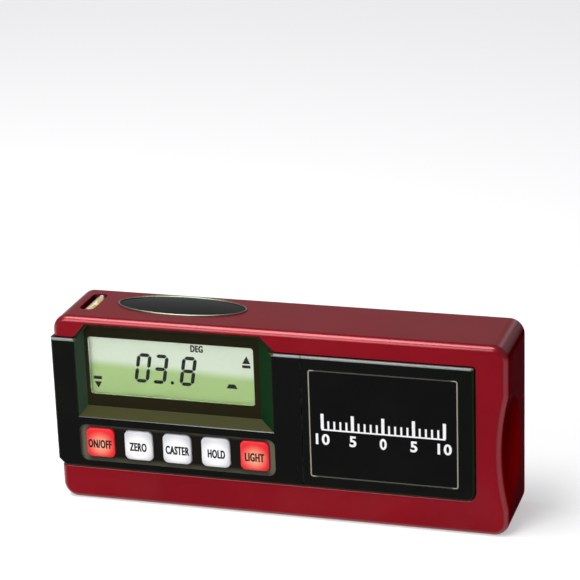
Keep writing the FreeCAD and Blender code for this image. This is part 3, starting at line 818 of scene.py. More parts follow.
@dataclass(frozen=True)
class OutlineInk(Printed):
    """A painted highlight on the line round the label: pale where it runs up, dim where it runs
    across.
    """

    dim: Colour = (0.02, 0.02, 0.01)
    middle: float = 36.0 * MM
    half: float = 24.0 * MM
    fade: Pair = (2.2 * MM, 0.5 * MM)

    def shade(self, graph: Graph, shader: bpy.types.Node) -> None:
        """Mixes the two colours by the distance from the label's middle.

        Args:
            graph: the material's graph.
            shader: its Principled shader.
        """
        super().shade(graph, shader)
        off = graph.magnitude(graph.parts(graph.point((self.middle, 0, 0)))[0])
        side = graph.step(off, self.half - self.fade[0], self.half - self.fade[1])
        speckled = shader.inputs["Base Color"].links[0].from_socket
        graph.feed(shader.inputs["Base Color"], graph.mix(side, self.dim, speckled))


def shape(name: str, points: np.ndarray, faces: list[tuple[int, ...]]) -> bpy.types.Object:
    """Makes an object from a closed surface, with its faces turned outwards.

    They are turned round where the sum of the scalar triple products of the triangles' corners,
    which is six times the volume, comes out below zero.

    Args:
        name: the object's name.
        points: an array of shape (n, 3), in place.
        faces: point numbers of each face, all turned the same way.

    Returns:
        The object, with no finish yet.
    """
    fans = [(face[0], face[i], face[i + 1]) for face in faces for i in range(1, len(face) - 1)]
    corners = points[np.array(fans)]
    products = np.einsum("ij,ij->i", corners[:, 0], np.cross(corners[:, 1], corners[:, 2]))
    if products.sum() < 0:
        faces = [tuple(reversed(face)) for face in faces]
    mesh = bpy.data.meshes.new(name)
    mesh.from_pydata(points, [], faces)
    mesh.validate()
    mesh.shade_smooth()
    mesh.set_sharp_from_angle(angle=math.radians(SHARP_ANGLE))
    made = bpy.data.objects.new(name, mesh)
    bpy.context.scene.collection.objects.link(made)
    return made


def rounded_rings(
    half_x: np.ndarray, half_z: np.ndarray, radius: np.ndarray, steps: int = 12
) -> np.ndarray:
    """Rounded rectangles: quarter circles about centres that lie radius inside each half size.

    Args:
        half_x: half the width of each ring.
        half_z: half the height of each ring.
        radius: corner radius of each ring.
        steps: points on each corner, less one.

    Returns:
        An array of shape (rings, 4 * (steps + 1), 2) with X and Z, anticlockwise.
    """
    quarter = np.linspace(0, np.pi / 2, steps + 1)
    angles = (quarter[None, :] + np.arange(4)[:, None] * np.pi / 2).ravel()
    signs = np.array([(1, 1), (-1, 1), (-1, -1), (1, -1)]).repeat(steps + 1, axis=0)
    round_part = radius[:, None, None] * np.stack([np.cos(angles), np.sin(angles)], axis=1)
    centre_part = np.stack([half_x - radius, half_z - radius], axis=1)[:, None, :] * signs
    return centre_part + round_part


def loft(name: str, rings: np.ndarray) -> bpy.types.Object:
    """Joins rings by quads, and closes both ends with a flat face.

    Args:
        name: the object's name.
        rings: the points, (rings, points of a ring, 3).

    Returns:
        The solid as an object.
    """
    count, around = rings.shape[:2]
    first = np.arange(count - 1)[:, None] * around + np.arange(around)
    after = np.arange(count - 1)[:, None] * around + (np.arange(around) + 1) % around
    quads = np.stack([first, after, after + around, first + around], axis=-1).reshape(-1, 4)
    ends = [tuple(range(around - 1, -1, -1)), tuple(range((count - 1) * around, count * around))]
    return shape(name, rings.reshape(-1, 3), [tuple(quad) for quad in quads.tolist()] + ends)


def tube_ring(
    name: str, path: np.ndarray, outward: np.ndarray, section: np.ndarray
) -> bpy.types.Object:
    """Carries a closed section along a closed path: path + outward * first + rise * second.

    Args:
        name: the object's name.
        path: the path's points, (n, 3).
        outward: at each point of the path, the direction that the section's first axis follows.
        section: the section's points, (m, 2): along outward, and away from the path's plane,
            which is -Y for an upright path and +Z for a flat one.

    Returns:
        The ring as an object.
    """
    flat = np.ptp(path, axis=0)
    rise = np.array((0.0, 0.0, 1.0)) if flat[2] < flat[1] else np.array((0.0, -1.0, 0.0))
    points = path[:, None] + outward[:, None] * section[None, :, :1] + rise * section[None, :, 1:]
    along, across = points.shape[:2]
    i, j = np.meshgrid(np.arange(along), np.arange(across), indexing="ij")
    a, b = i * across + j, ((i + 1) % along) * across + j
    c, d = ((i + 1) % along) * across + (j + 1) % across, i * across + (j + 1) % across
    quads = np.stack([a, b, c, d], axis=-1).reshape(-1, 4)
    return shape(name, points.reshape(-1, 3), [tuple(quad) for quad in quads.tolist()])


def plates(name: str, outlines: list[np.ndarray], front: float, back: float) -> bpy.types.Object:
    """Extrudes flat outlines from the plane y = front to y = back.

    Args:
        name: the object's name.
        outlines: arrays of X and Z, one for each plate.
        front: Y of the front faces.
        back: Y of the back faces.

    Returns:
        The plates as one object.
    """
    points, faces, start = [], [], 0
    for outline in outlines:
        count = len(outline)
        for y in (front, back):
            points.append(np.column_stack([outline[:, 0], np.full(count, y), outline[:, 1]]))
        ring = np.arange(count)
        after = (ring + 1) % count
        sides = np.stack([ring, after, after + count, ring + count], axis=1) + start
        faces += [tuple(side) for side in sides.tolist()]
        faces += [tuple((start + ring[::-1]).tolist()), tuple((start + count + ring).tolist())]
        start += 2 * count
    return shape(name, np.concatenate(points), faces)


def lettering(
    name: str, text: str, place: Point, size: Pair, weight: float, spread: float = 0.0
) -> bpy.types.Object:
    """Raised characters that face -Y, stretched to a width and a height about a place.

    Args:
        name: the object's name.
        text: the characters.
        place: their middle.
        size: width and height over the inked part.
        weight: how much the strokes are thickened, as a share of the character's size.
        spread: how much wider the upright strokes are made, by copies a little to either side.

    Returns:
        The characters as a mesh object with its place in its mesh.
    """
    curve = bpy.data.curves.new(name, "FONT")
    curve.body, curve.offset, curve.extrude, curve.resolution_u = text, weight, 0.01, 5
    curve.space_character = LETTER_SPACING
    writer = bpy.data.objects.new(f"{name}_writer", curve)
    bpy.context.scene.collection.objects.link(writer)
    seen = writer.evaluated_get(bpy.context.evaluated_depsgraph_get())
    mesh = bpy.data.meshes.new_from_object(seen)
    bpy.data.objects.remove(writer)
    flat = np.empty(len(mesh.vertices) * 3)
    mesh.vertices.foreach_get("co", flat)
    points = flat.reshape(-1, 3)
    low, high = points.min(axis=0), points.max(axis=0)
    unit = (points - (low + high) / 2) / (high - low)
    stretch = np.array((size[0] - spread, size[1], -PRINT_RISE))
    raised = (unit * stretch)[:, (0, 2, 1)] + np.array(place)
    copies = 3 if spread else 1
    shifts = np.linspace(-0.5, 0.5, copies)[:, None] * np.array([(spread, COPY_STEP, 0.0)])
    faces = [tuple(face.vertices) for face in mesh.polygons]
    every = []
    for start in range(0, copies * len(points), len(points)):
        every += [tuple(start + corner for corner in face) for face in faces]
    return shape(name, (raised[None] + shifts[:, None]).reshape(-1, 3), every)


def settle(
    piece: bpy.types.Object, finish: Finish, body: str, slot: str | None = None, *nodes: str
) -> None:
    """Gives a piece its finish, puts it on its body and hides the nodes that it stands for.

    Args:
        piece: the object.
        finish: its finish.
        body: the name of the body that it rides on.
        slot: the name of a material slot; not used.
        nodes: the nodes that it replaces.
    """
    piece.data.materials.clear()
    piece.data.materials.append(finish.material())
    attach(piece, body)
    if nodes:
        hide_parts(*nodes)
    log.info("%s: %d faces, %s", piece.name, len(piece.data.polygons), finish.name)


def dress(node: bpy.types.Object, finish: Finish) -> None:
    """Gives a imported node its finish.

    Args:
        node: the node.
        finish: its finish.
    """
    for slot in node.material_slots:
        slot.material = finish.material()
    log.info("%s: packed node, %s", node.name, finish.name)


@dataclass
class Studio:
    """The pale floor, the lamps and the camera at the fitted viewing angle."""

    azimuth: float = 17.16
    elevation: float = 19.225
    roll: float = -2.01
    aside: float = -0.787 * MM
    above: float = 69.376 * MM
    distance: float = 758.31 * MM
    focal_pixels: float = 2278.25
    picture_pixels: float = 580.0
    sensor: float = 36.0
    base_point: Point = (0.3 * MM, 0.5 * MM, 0.0)
    floor_size: float = 6.0
    floor_drop: float = 0.02 * MM
    floor_shade: float = 0.62
    floor_lift: float = 0.42
    sky: Colour = (0.25, 0.25, 0.27)
    target: Point = (0.0, 0.0, 0.03)
    lamps: tuple[tuple[str, Point, float, float, float], ...] = (
        ("top_box", (-0.24, -0.2, 0.85), 0.6, 0.42, 7.2),
        ("front_box", (-0.55, -1.2, 0.75), 0.8, 0.8, 11.0),
        ("back_box", (-0.35, 1.3, 0.5), 1.6, 0.6, 1.6),
    )

    def camera(self) -> None:
        """Turns right, up and back by the three angles and steps back from the base point."""
        azimuth, elevation, roll = np.radians((self.azimuth, self.elevation, self.roll)).tolist()
        level, rise = math.cos(elevation), math.sin(elevation)
        back = np.array((math.sin(azimuth) * level, -math.cos(azimuth) * level, rise))
        right = np.array((math.cos(azimuth), math.sin(azimuth), 0.0))
        up = np.cross(back, right)
        turned_right = math.cos(roll) * right + math.sin(roll) * up
        turned_up = math.cos(roll) * up - math.sin(roll) * right
        place = turned_right * self.aside + turned_up * self.above + back * self.distance
        matrix = np.identity(4)
        matrix[:3] = np.column_stack([turned_right, turned_up, back, place + self.base_point])
        data = bpy.data.cameras.new("camera")
        data.sensor_width = self.sensor
        data.lens = self.sensor * self.focal_pixels / self.picture_pixels
        data.clip_start, data.clip_end = 0.01, 50.0
        made = bpy.data.objects.new("camera", data)
        made.matrix_world = Matrix(matrix.tolist())
        bpy.context.scene.collection.objects.link(made)
        bpy.context.scene.camera = made

    def seen_directly(self, graph: Graph) -> Socket:
        """Returns 1 for rays from the camera, from glossy surfaces and through glass, and else 0.

        Args:
            graph: the floor's graph.

        Returns:
            The mask.
        """
        path = graph.add("LightPath").outputs
        shiny = graph.calc("MAXIMUM", path["Is Glossy Ray"], path["Is Transmission Ray"])
        return graph.calc("MAXIMUM", path["Is Camera Ray"], shiny)

    def floor(self) -> None:
        """Lays a pale floor that keeps shadows and looks white where it is lit."""
        half = self.floor_size / 2
        corners = np.array([(-half, -half), (half, -half), (half, half), (-half, half)])
        points = np.column_stack([corners, np.full(4, -self.floor_drop)])
        mesh = bpy.data.meshes.new("floor")
        mesh.from_pydata(points, [], [(0, 1, 2, 3)])
        made = bpy.data.objects.new("floor", mesh)
        bpy.context.scene.collection.objects.link(made)
        material = bpy.data.materials.new("floor")
        material.use_nodes = True
        material.node_tree.nodes.clear()
        graph = Graph(material.node_tree)
        matt = graph.add("BsdfDiffuse", {"Color": (self.floor_shade,) * 3})
        lift = graph.times(self.seen_directly(graph), self.floor_lift)
        glow = graph.add("Emission", {"Color": (1.0, 1.0, 1.0), "Strength": lift})
        both = graph.add("AddShader", {0: matt.outputs[0], 1: glow.outputs[0]})
        graph.add("OutputMaterial", {"Surface": both.outputs[0]})
        made.data.materials.append(material)

    def world(self) -> None:
        """Fills the shadows with a dim even sky, which looks white where it is seen."""
        world = bpy.data.worlds.new("studio")
        bpy.context.scene.world = world
        world.use_nodes = True
        world.node_tree.nodes.clear()
        graph = Graph(world.node_tree)
        seen = graph.add("LightPath").outputs["Is Camera Ray"]
        colour = graph.mix(seen, self.sky, (1.0, 1.0, 1.0))
        sky = graph.add("Background", {"Color": colour})
        graph.add("OutputWorld", {"Surface": sky.outputs[0]})

    def lights(self) -> None:
        """Hangs the soft boxes, each given by place, width, height and watts, and aims them."""
        for name, place, wide, high, power in self.lamps:
            data = bpy.data.lights.new(name, "AREA")
            data.shape, data.size, data.size_y, data.energy = "RECTANGLE", wide, high, power
            made = bpy.data.objects.new(name, data)
            made.location = place
            aim = Vector(self.target) - Vector(place)
            made.rotation_euler = aim.to_track_quat("-Z", "Y").to_euler()
            bpy.context.scene.collection.objects.link(made)

    def build(self) -> None:
        """Sets up the whole studio."""
        bpy.context.scene.view_settings.view_transform = "Standard"
        self.camera()
        self.floor()
        self.world()
        self.lights()


@dataclass
class MetalBody:
    """The red metal body with its screws and magnets."""

    red: Finish = Anodised(
        "anodised_red",
        colour=ink(144, 10, 26),
        deep=ink(112, 4, 18),
        # The pink edge colour is wear and a painted highlight on the rounded edges.
        worn=ink(184, 66, 110),
        roughness=0.38,
        metallic=0.5,
        specular=0.3,
        coat=0.1,
        coat_roughness=0.2,
    )
    steel: Finish = BareMetal("screw_steel", colour=ink(190, 190, 188), roughness=0.3, metallic=1.0)
    nickel: Finish = BareMetal(
        "magnet_nickel", colour=ink(200, 198, 192), roughness=0.25, metallic=1.0, stretch=(1, 1, 1)
    )

    def build(self, nodes: dict[str, bpy.types.Object]) -> None:
        """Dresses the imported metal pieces.

        Args:
            nodes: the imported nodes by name.
        """
        dress(nodes["housing"], self.red)
        dress(nodes["rear_screws"], self.steel)
        dress(nodes["base_magnets"], self.nickel)


@dataclass
class BlackFront:
    """The black front: panel, battery cover and the label field with a plain degree scale."""

    gloss: Finish = FrontBlack(
        "gloss_black",
        colour=ink(4, 5, 4),
        second=ink(9, 12, 8),
        # The pale grey edge colour is wear and a painted highlight on the black's edges.
        worn=ink(120, 128, 120),
        roughness=0.1,
        specular=0.05,
        coat_roughness=0.15,
        wear=0.2,
        dust=0.01,
        grain_scale=300.0,
    )
    label: Finish = Moulded(
        "label_black",
        colour=ink(3, 3, 3),
        second=ink(8, 8, 9),
        roughness=0.12,
        specular=0.05,
        wear=0.0,
        dust=0.01,
        grain_scale=250.0,
    )
    # The line round the label is a painted highlight on the plate's edges.
    line: Finish = OutlineInk(
        "label_line_highlight", colour=ink(150, 147, 130), roughness=0.35, dim=ink(40, 38, 20)
    )
    white: Finish = Printed("scale_white", colour=ink(240, 240, 240), roughness=0.4)
    bead: float = 0.42 * MM
    bead_rise: float = 0.1 * MM
    bead_corner: float = 0.7 * MM
    scale_drop: float = 1.5 * MM
    scale_half: float = 20.0 * MM
    scale_ticks: int = 20
    tick_half_width: float = 0.32 * MM
    tick_height: float = 2.8 * MM
    fifth_widening: float = 1.6
    fifth_height: float = 5.2 * MM
    base_line: float = 0.5 * MM
    tick_seat: float = 0.01 * MM
    numbers: tuple[int, ...] = (-10, -5, 0, 5, 10)
    figure_size: Pair = (2.3 * MM, 3.8 * MM)
    figure_drop: float = 3.6 * MM
    figure_weight: float = 0.03

    def outline(self, low: np.ndarray, high: np.ndarray) -> bpy.types.Object:
        """A bead of oval section along the edge of the label plate, half of it let in, carrying a
        painted highlight.

        Args:
            low: the plate's lowest corner.
            high: its highest corner.

        Returns:
            The bead as an object.
        """
        middle, half = (low + high) / 2, (high - low) / 2
        size = [np.array([half[i] - self.bead / 2]) for i in (0, 2)]
        ring = rounded_rings(size[0], size[1], np.array([self.bead_corner]))[0]
        x, z = ring.T + middle[[0, 2], None]
        path = np.column_stack([x, np.full(len(ring), low[1]), z])
        ahead = np.roll(path, -1, axis=0) - np.roll(path, 1, axis=0)
        outward = np.stack([ahead[:, 2], np.zeros(len(ring)), -ahead[:, 0]], axis=1)
        outward /= np.linalg.norm(outward, axis=1)[:, None]
        turn = np.linspace(0, 2 * np.pi, 12, endpoint=False)
        section = np.column_stack([np.cos(turn) * self.bead / 2, np.sin(turn) * self.bead_rise])
        return tube_ring("label_outline_highlight", path, outward, section)

    def ticks(self, middle: np.ndarray, face: float) -> bpy.types.Object:
        """The scale's bars: a long one at each fifth place, on a thin base line.

        Args:
            middle: the label plate's middle.
            face: Y of its face.

        Returns:
            The bars as one object.
        """
        base = np.array((middle[0], middle[2] - self.scale_drop))
        outlines = []
        for number in range(-(self.scale_ticks // 2), self.scale_ticks // 2 + 1):
            fifth = number % 5 == 0
            half = self.tick_half_width * (self.fifth_widening if fifth else 1.0)
            tall = self.fifth_height if fifth else self.tick_height
            foot = base + (self.offset(number), 0.0)
            outlines.append(foot + [(-half, 0.0), (half, 0.0), (half, tall), (-half, tall)])
        reach, line = self.scale_half + self.tick_half_width, self.base_line
        outlines.append(base + [(-reach, -line), (reach, -line), (reach, 0.0), (-reach, 0.0)])
        return plates("scale_ticks", outlines, face - PRINT_RISE, face + self.tick_seat)

    def offset(self, number: int) -> float:
        """Returns how far to the right of the middle a number of the scale stands."""
        return number * 2 * self.scale_half / self.scale_ticks

    def build(self, nodes: dict[str, bpy.types.Object]) -> None:
        """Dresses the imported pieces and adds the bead, the ticks and the numbers.

        Args:
            nodes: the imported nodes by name.
        """
        dress(nodes["front_panel"], self.gloss)
        dress(nodes["battery_cover"], self.gloss)
        dress(nodes["label_plate"], self.label)
        low, high = (np.array(corner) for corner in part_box("label_plate"))
        settle(self.outline(low, high), self.line, Body.COVER.value, "label_black")
        middle = (low + high) / 2
        settle(self.ticks(middle, low[1]), self.white, Body.COVER.value, "label_black")
        drop = self.scale_drop + self.figure_drop
        for number in self.numbers:
            text = str(abs(number))
            name = f"scale_number_{'left_' if number < 0 else ''}{text}"
            place = (middle[0] + self.offset(number), low[1] - self.tick_seat, middle[2] - drop)
            size = (self.figure_size[0] * len(text), self.figure_size[1])
            figure = lettering(name, text, place, size, self.figure_weight)
            settle(figure, self.white, Body.COVER.value, "label_black")


@dataclass
class Keypad:
    """Five keys with rounded caps and plain words for what they do.

    Each row of words gives a key's node, its word, the word's width and how far to the right of
    the key's middle it stands, both in mm.
    """

    words: tuple[tuple[str, str, float, float], ...] = (
        ("key_on_off", "ON/OFF", 8.3, -0.2),
        ("key_zero", "ZERO", 6.0, -0.15),
        ("key_caster", "CASTER", 8.2, 0.2),
        ("key_hold", "HOLD", 6.0, 0.3),
        ("key_light", "LIGHT", 6.6, 0.0),
    )
    # The red keys; the pale middle of each cap is a painted highlight, not light of its own.
    lit: tuple[str, ...] = ("key_on_off", "key_light")
    flange: float = 0.8 * MM
    flange_depth: float = 0.8 * MM
    corner: float = 1.8 * MM
    corner_shrink: float = 0.8
    least_corner: float = 0.3 * MM
    fullest_corner: float = 0.98
    edge: Point = (1.1 * MM, 0.45 * MM, 0.03 * MM)
    edge_steps: int = 8
    face_insets: Pair = (0.7, 0.4)
    stem: float = 2.0 * MM
    face_to_flange: float = 2.15 * MM
    letter_height: float = 3.0 * MM
    letter_drop: float = 0.35 * MM
    letter_weight: float = 0.025
    letter_depth: float = 0.018 * MM
    spread: float = 0.15 * MM
    black: Finish = Printed("legend_black", colour=ink(8, 6, 6), roughness=0.45, specular=0.2)
    # Each key finish paints a highlight in the cap's middle; the white keys' grey edges are painted
    # shade.
    red: KeyFinish = KeyFinish(
        "red", colour=ink(236, 12, 30), roughness=0.35, specular=0.2, middle=ink(255, 176, 140)
    )
    white: KeyFinish = KeyFinish(
        "white",
        colour=ink(196, 197, 202),
        roughness=0.35,
        specular=0.2,
        middle=ink(252, 252, 252),
        core=2.6 * MM,
        reach=6.8 * MM,
    )

    def cap(self, name: str, low: np.ndarray, high: np.ndarray) -> bpy.types.Object:
        """A key as rings from the middle of its face, over its rounded edge, to its stem's end.

        The edge is a quarter ellipse, as wide and as deep as the edge field says, behind a small
        set-back of the face that the word stands on. The flange stands out behind the plate. The
        stem is a circle, which is a rounded rectangle whose radius is its half size.

        Args:
            name: the node that it stands for.
            low: the node's lowest corner.
            high: its highest corner.

        Returns:
            The key as an object.
        """
        middle = (low + high) / 2
        half_x, _, half_z = (high - low) / 2 - self.flange
        turn = np.linspace(0, np.pi / 2, self.edge_steps)
        wide_edge, deep_edge, set_back = self.edge
        back, flange = self.face_to_flange, self.flange
        inset = [np.array(self.face_insets) * half_x, wide_edge * (1 - np.sin(turn))]
        inset += [(0.0, -flange, -flange)]
        depth = [(set_back, set_back), deep_edge * (1 - np.cos(turn)) + set_back]
        depth += [(back, back, back + self.flange_depth)]
        inset, depth = np.concatenate(inset), np.concatenate(depth) + low[1]
        wide, tall = half_x - inset, half_z - inset
        radius = self.corner - np.maximum(inset, 0) * self.corner_shrink
        fullest = np.minimum(wide, tall) * self.fullest_corner
        radius = np.minimum(np.maximum(radius, self.least_corner), fullest)
        stem = np.array([self.stem, self.stem])
        wide, tall, radius = (np.concatenate([sizes, stem]) for sizes in (wide, tall, radius))
        depth = np.concatenate([depth, [depth[-1], high[1]]])
        rings = rounded_rings(wide, tall, radius)
        behind = np.broadcast_to(depth[:, None], rings.shape[:2])
        placed = np.stack([rings[..., 0] + middle[0], behind, rings[..., 1] + middle[2]], axis=-1)
        return loft(f"{name}_cap", placed)

    def build(self, nodes: dict[str, bpy.types.Object]) -> None:
        """Builds each key with its word.

        Args:
            nodes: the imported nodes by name.
        """
        for name, word, width, shift in self.words:
            low, high = (np.array(corner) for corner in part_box(name))
            middle = tuple(float(v) for v in (low + high) / 2)
            if name in self.lit:
                finish, slot = replace(self.red, name=name, centre=middle), "key_red"
            else:
                finish, slot = replace(self.white, name=name, centre=middle), "key_white"
            settle(self.cap(name, low, high), finish, f"{name}_body", slot, name)
            x, z = middle[0] + shift * MM, middle[2] - self.letter_drop
            place = (x, low[1] + self.letter_depth, z)
            size = (width * MM, self.letter_height)
            legend = lettering(f"{name}_word", word, place, size, self.letter_weight, self.spread)
            settle(legend, self.black, f"{name}_body")


@dataclass
class Display:
    """The display: lens, cell and what it shows.

    Each row of digits gives a figure and X of its left side in mm, and the point is given by X, Z
    and radius in mm.
    """

    clear: Finish = Clear("lens_clear", colour=(1, 1, 1), roughness=0.0, index=1.2)
    cell: Finish = CellFinish(
        "cell_green",
        colour=ink(198, 210, 190),
        roughness=0.5,
        specular=0.1,
        lower=ink(152, 180, 116),
    )
    dark: Finish = Printed("segment_black", colour=ink(8, 8, 8), roughness=0.6, specular=0.1)
    guide: Finish = Moulded(
        "guide_white", colour=ink(225, 228, 222), second=ink(200, 205, 196), wear=0.1
    )
    holder: Finish = Moulded(
        "holder_black", colour=ink(14, 14, 14), second=ink(24, 24, 24), roughness=0.55
    )
    strip: Finish = Banded(
        "strip_grey",
        colour=ink(120, 120, 124),
        second=ink(40, 40, 44),
        roughness=0.6,
        width=1.0 * MM,
        bands=4.0,
    )
    digit_width: float = 5.05 * MM
    digit_height: float = 10.3 * MM
    stroke: float = 1.22 * MM
    stroke_gap: float = 0.12 * MM
    slant: float = 0.165
    digit_foot: float = 42.0 * MM
    digits: tuple[tuple[str, float], ...] = (("0", -49.2), ("3", -43.3), ("8", -33.6))
    bars: dict[str, str] = field(
        default_factory=lambda: {"0": "abcdef", "3": "abcdg", "8": "abcdefg"}
    )
    point: Point = (-35.9, 42.7, 0.6)
    film: float = 0.02 * MM
    unit_place: Pair = (-26.97 * MM, 55.2 * MM)
    unit_size: Pair = (4.3 * MM, 2.4 * MM)
    unit_weight: float = 0.03
    unit_spread: float = 0.14 * MM

    def bar(self, side: Side, x: float, z: float, length: float) -> np.ndarray:
        """One bar of a digit: a hexagon along X or Z about its middle.

        Args:
            side: which way the bar runs.
            x: X of its middle.
            z: Z of its middle.
            length: from the middle of one corner of the digit to the next.

        Returns:
            The hexagon's X and Z.
        """
        half, thick = length / 2 - self.stroke_gap, self.stroke / 2
        along = np.array([-half, -half + thick, half - thick, half, half - thick, -half + thick])
        across = np.array([0, -thick, -thick, 0, thick, thick])
        if side is Side.ACROSS:
            return np.column_stack([x + along, z + across])
        return np.column_stack([x - across, z + along])

    def digit(self, figure: str, left: float) -> list[np.ndarray]:
        """The bars of one figure, each point pushed right by the slant times its height.

        The bars are lettered as usual: a to f clockwise from the top one, and g in the middle.

        Args:
            figure: the figure.
            left: X of the digit's left side at its foot.

        Returns:
            The X and Z of each bar.
        """
        wide, tall = self.digit_width - self.stroke, (self.digit_height - self.stroke) / 2
        x0, z0 = left + self.stroke / 2, self.digit_foot + self.stroke / 2
        x1, x_mid = x0 + wide, x0 + wide / 2
        z1, z2 = z0 + tall, z0 + 2 * tall
        made = {
            "a": self.bar(Side.ACROSS, x_mid, z2, wide),
            "b": self.bar(Side.UP, x1, (z1 + z2) / 2, tall),
            "c": self.bar(Side.UP, x1, (z0 + z1) / 2, tall),
            "d": self.bar(Side.ACROSS, x_mid, z0, wide),
            "e": self.bar(Side.UP, x0, (z0 + z1) / 2, tall),
            "f": self.bar(Side.UP, x0, (z1 + z2) / 2, tall),
            "g": self.bar(Side.ACROSS, x_mid, z1, wide),
        }
        shown = []
        for letter in self.bars[figure]:
            x, z = made[letter].T
            shown.append(np.column_stack([x + (z - self.digit_foot) * self.slant, z]))
        return shown

    def marks(self) -> list[np.ndarray]:
        """Draws the decimal point, the two arrows with their bars, and the level mark.

        Returns:
            The X and Z of each outline.
        """
        x, z, radius = self.point
        turn = np.linspace(0, 2 * np.pi, 16, endpoint=False)
        dot = np.column_stack([np.cos(turn) * radius + x, np.sin(turn) * radius + z])
        corners = [
            [(-11.6, 51.3), (-8.9, 51.3), (-10.1, 54.0)],
            [(-11.65, 49.8), (-8.85, 49.8), (-8.85, 50.8), (-11.65, 50.8)],
            [(-17.3, 42.3), (-13.45, 42.3), (-14.35, 43.8), (-16.45, 43.8)],
            [(-61.9, 38.9), (-60.6, 41.2), (-63.2, 41.2)],
            [(-63.4, 42.0), (-60.5, 42.0), (-60.5, 43.1), (-63.4, 43.1)],
        ]
        return [dot * MM] + [np.array(outline) * MM for outline in corners]

    def build(self, nodes: dict[str, bpy.types.Object]) -> None:
        """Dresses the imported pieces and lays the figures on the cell.

        Args:
            nodes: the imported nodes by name.
        """
        dress(nodes["lcd_lens"], self.clear)
        dress(nodes["lcd_glass"], self.cell)
        dress(nodes["lcd_backlight"], self.guide)
        dress(nodes["lcd_holder"], self.holder)
        dress(nodes["zebra_strip"], self.strip)
        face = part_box("lcd_glass")[0][1]
        outlines = self.marks()
        for figure, left in self.digits:
            outlines += self.digit(figure, left * MM)
        figures = plates("display_figures", outlines, face - self.film, face)
        settle(figures, self.dark, Body.MAIN.value)
        place = (self.unit_place[0], face - self.film, self.unit_place[1])
        size, weight, spread = self.unit_size, self.unit_weight, self.unit_spread
        unit = lettering("display_unit", "DEG", place, size, weight, spread)
        settle(unit, self.dark, Body.MAIN.value)


@dataclass
class TopFace:
    """What is let into the top face: the level vial and the oval badge."""

    glass: Finish = Clear("vial_glass", colour=(1, 1, 1), roughness=0.0, index=1.5)
    liquid: Finish = Moulded(
        "vial_yellow",
        colour=ink(250, 226, 96),
        second=ink(255, 238, 130),
        roughness=0.15,
        wear=0.0,
        dust=0.0,
    )
    seat: Finish = Moulded(
        "vial_seat", colour=ink(16, 14, 16), second=ink(28, 24, 26), roughness=0.5
    )
    black: Finish = Moulded(
        "badge_black",
        colour=ink(3, 4, 3),
        second=ink(8, 10, 8),
        roughness=0.08,
        specular=0.03,
        wear=0.0,
        dust=0.01,
    )
    rim: Finish = BareMetal("badge_rim", colour=ink(120, 136, 112), roughness=0.25, metallic=0.9)
    rim_width: float = 0.6 * MM
    rim_overlap: float = 0.8
    dome: float = 0.3 * MM
    dome_drop: float = 0.04 * MM
    dome_rings: tuple[float, ...] = (0.05, 0.3, 0.5, 0.7, 0.85, 0.95, 1.0)

    def badge(self) -> tuple[bpy.types.Object, bpy.types.Object]:
        """The badge as a domed oval inside a raised rim.

        The dome's height is its top less dome times r squared, over ellipses of share r from 0 to
        1, and the rim is an oval section carried round the ellipse.

        Returns:
            The dome and the rim.
        """
        low, high = (np.array(corner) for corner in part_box("oval_badge"))
        middle, half = (low + high) / 2, (high - low) / 2
        turn = np.linspace(0, 2 * np.pi, 96, endpoint=False)
        circle = np.column_stack([np.cos(turn), np.sin(turn)])
        shares = np.array(self.dome_rings + self.dome_rings[-1:])
        heights = high[2] - self.dome_drop - self.dome * shares**2
        heights[-1] = low[2]
        reach = half[:2] - self.rim_width * self.rim_overlap
        flat = middle[:2] + circle[None] * reach * shares[:, None, None]
        up = np.broadcast_to(heights[:, None, None], (*flat.shape[:2], 1))
        dome = loft("badge_dome", np.concatenate([flat, up], axis=-1))
        path_reach = half[:2] - self.rim_width / 2
        path = np.column_stack([middle[:2] + circle * path_reach, np.full(len(turn), middle[2])])
        outward = np.column_stack([circle / path_reach, np.zeros(len(turn))])
        outward /= np.linalg.norm(outward, axis=1)[:, None]
        around = np.linspace(0, 2 * np.pi, 16, endpoint=False)
        section = np.column_stack([np.cos(around) * self.rim_width / 2, np.sin(around) * half[2]])
        return dome, tube_ring("badge_rim", path, outward, section)

    def build(self, nodes: dict[str, bpy.types.Object]) -> None:
        """Dresses the vial and builds the badge.

        Args:
            nodes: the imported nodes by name.
        """
        dress(nodes["vial_tube"], self.glass)
        dress(nodes["vial_fluid"], self.liquid)
        dress(nodes["vial_caps"], self.seat)
        dress(nodes["vial_bed"], self.seat)
        dome, rim = self.badge()
        settle(dome, self.black, Body.MAIN.value, "badge", "oval_badge")
        settle(rim, self.rim, Body.MAIN.value, "badge")


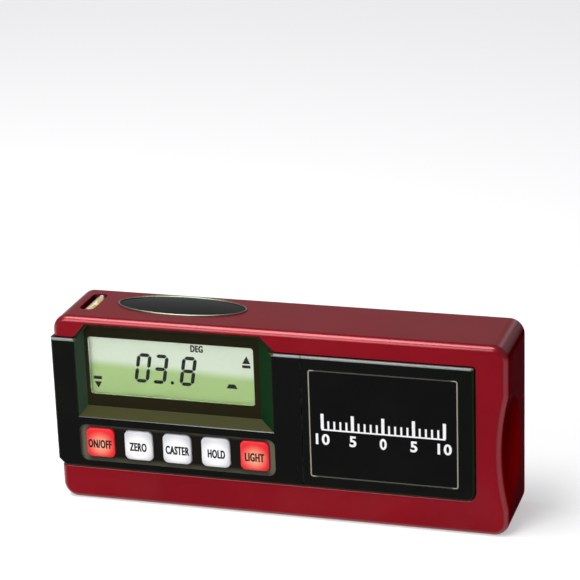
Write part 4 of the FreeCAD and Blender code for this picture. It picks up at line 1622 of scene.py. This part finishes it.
@dataclass
class Electronics:
    """The board and what it carries."""

    board: Finish = Board(
        "board_green", colour=ink(12, 74, 38), roughness=0.35, track=ink(24, 104, 56)
    )
    switches: Finish = Moulded(
        "switch_black", colour=ink(20, 20, 22), second=ink(34, 34, 36), roughness=0.45
    )
    screws: Finish = BareMetal(
        "board_screws", colour=ink(196, 194, 188), roughness=0.3, metallic=1.0
    )
    can: Finish = BareMetal("can_steel", colour=ink(186, 188, 190), roughness=0.28, metallic=1.0)
    clamp: Finish = BareMetal(
        "clamp_steel", colour=ink(170, 172, 172), roughness=0.4, metallic=1.0, stretch=(20, 1, 1)
    )
    chip: Finish = Moulded(
        "chip_black", colour=ink(22, 22, 24), second=ink(30, 30, 33), roughness=0.6
    )
    crystal: Finish = BareMetal(
        "crystal_can", colour=ink(198, 196, 186), roughness=0.25, metallic=1.0
    )
    sleeve: Finish = Banded(
        "cap_sleeve",
        colour=ink(22, 30, 70),
        second=ink(190, 190, 190),
        roughness=0.35,
        start=-61.0 * MM,
        width=6.3 * MM,
        share=0.8,
    )
    header: Finish = Moulded("header_white", colour=ink(226, 222, 206), second=ink(210, 205, 188))

    def build(self, nodes: dict[str, bpy.types.Object]) -> None:
        """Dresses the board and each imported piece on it.

        Args:
            nodes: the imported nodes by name.
        """
        dress(nodes["main_pcb"], self.board)
        dress(nodes["key_switches"], self.switches)
        dress(nodes["pcb_screws"], self.screws)
        dress(nodes["tilt_sensor"], self.can)
        dress(nodes["sensor_clamp"], self.clamp)
        dress(nodes["mcu_chip"], self.chip)
        dress(nodes["crystal"], self.crystal)
        dress(nodes["capacitors"], self.sleeve)
        dress(nodes["power_header"], self.header)


@dataclass
class BatteryBay:
    """The tray behind the cover, the battery in it and its leads."""

    tray: Finish = Moulded(
        "tray_black",
        colour=ink(20, 20, 20),
        second=ink(32, 32, 31),
        roughness=0.55,
        grain_depth=0.01 * MM,
    )
    plated: Finish = BareMetal("plated", colour=ink(205, 202, 194), roughness=0.25, metallic=1.0)
    snap: Finish = Moulded(
        "snap_black", colour=ink(16, 16, 17), second=ink(26, 26, 28), roughness=0.5
    )
    red_lead: Finish = Moulded(
        "lead_red", colour=ink(178, 16, 18), second=ink(200, 30, 30), wear=0.0
    )
    black_lead: Finish = Moulded(
        "lead_black", colour=ink(14, 14, 14), second=ink(26, 26, 26), wear=0.0
    )
    foam: Finish = Foam("foam_grey", colour=ink(92, 94, 96), roughness=0.9)
    case: Banded = Banded(
        "cell_case",
        colour=ink(34, 36, 40),
        second=ink(176, 122, 62),
        roughness=0.28,
        metallic=0.8,
        share=0.7,
    )
    case_overrun: float = 1.01

    def build(self, nodes: dict[str, bpy.types.Object]) -> None:
        """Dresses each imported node, with one copper band at the battery's far end.

        Args:
            nodes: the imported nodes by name.
        """
        dress(nodes["battery_tray"], self.tray)
        dress(nodes["battery_terminals"], self.plated)
        dress(nodes["battery_snap"], self.snap)
        dress(nodes["battery_lead_red"], self.red_lead)
        dress(nodes["battery_lead_black"], self.black_lead)
        dress(nodes["battery_foam"], self.foam)
        low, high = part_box("battery_9v")
        width = (high[0] - low[0]) * self.case_overrun
        dress(nodes["battery_9v"], replace(self.case, start=low[0], width=width))


def corners(bounds: tuple) -> list[list[float]]:
    """Returns a box's two corners as plain lists."""
    return [[float(value) for value in corner] for corner in bounds]


def main() -> None:
    """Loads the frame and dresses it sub-assembly by sub-assembly."""
    logging.basicConfig(level=logging.INFO, format="%(message)s")
    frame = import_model()
    Studio().build()
    assemblies = (MetalBody, BlackFront, Keypad, Display, TopFace, Electronics, BatteryBay)
    for assembly in assemblies:
        assembly().build(frame["nodes"])


if __name__ == "__main__":
    main()
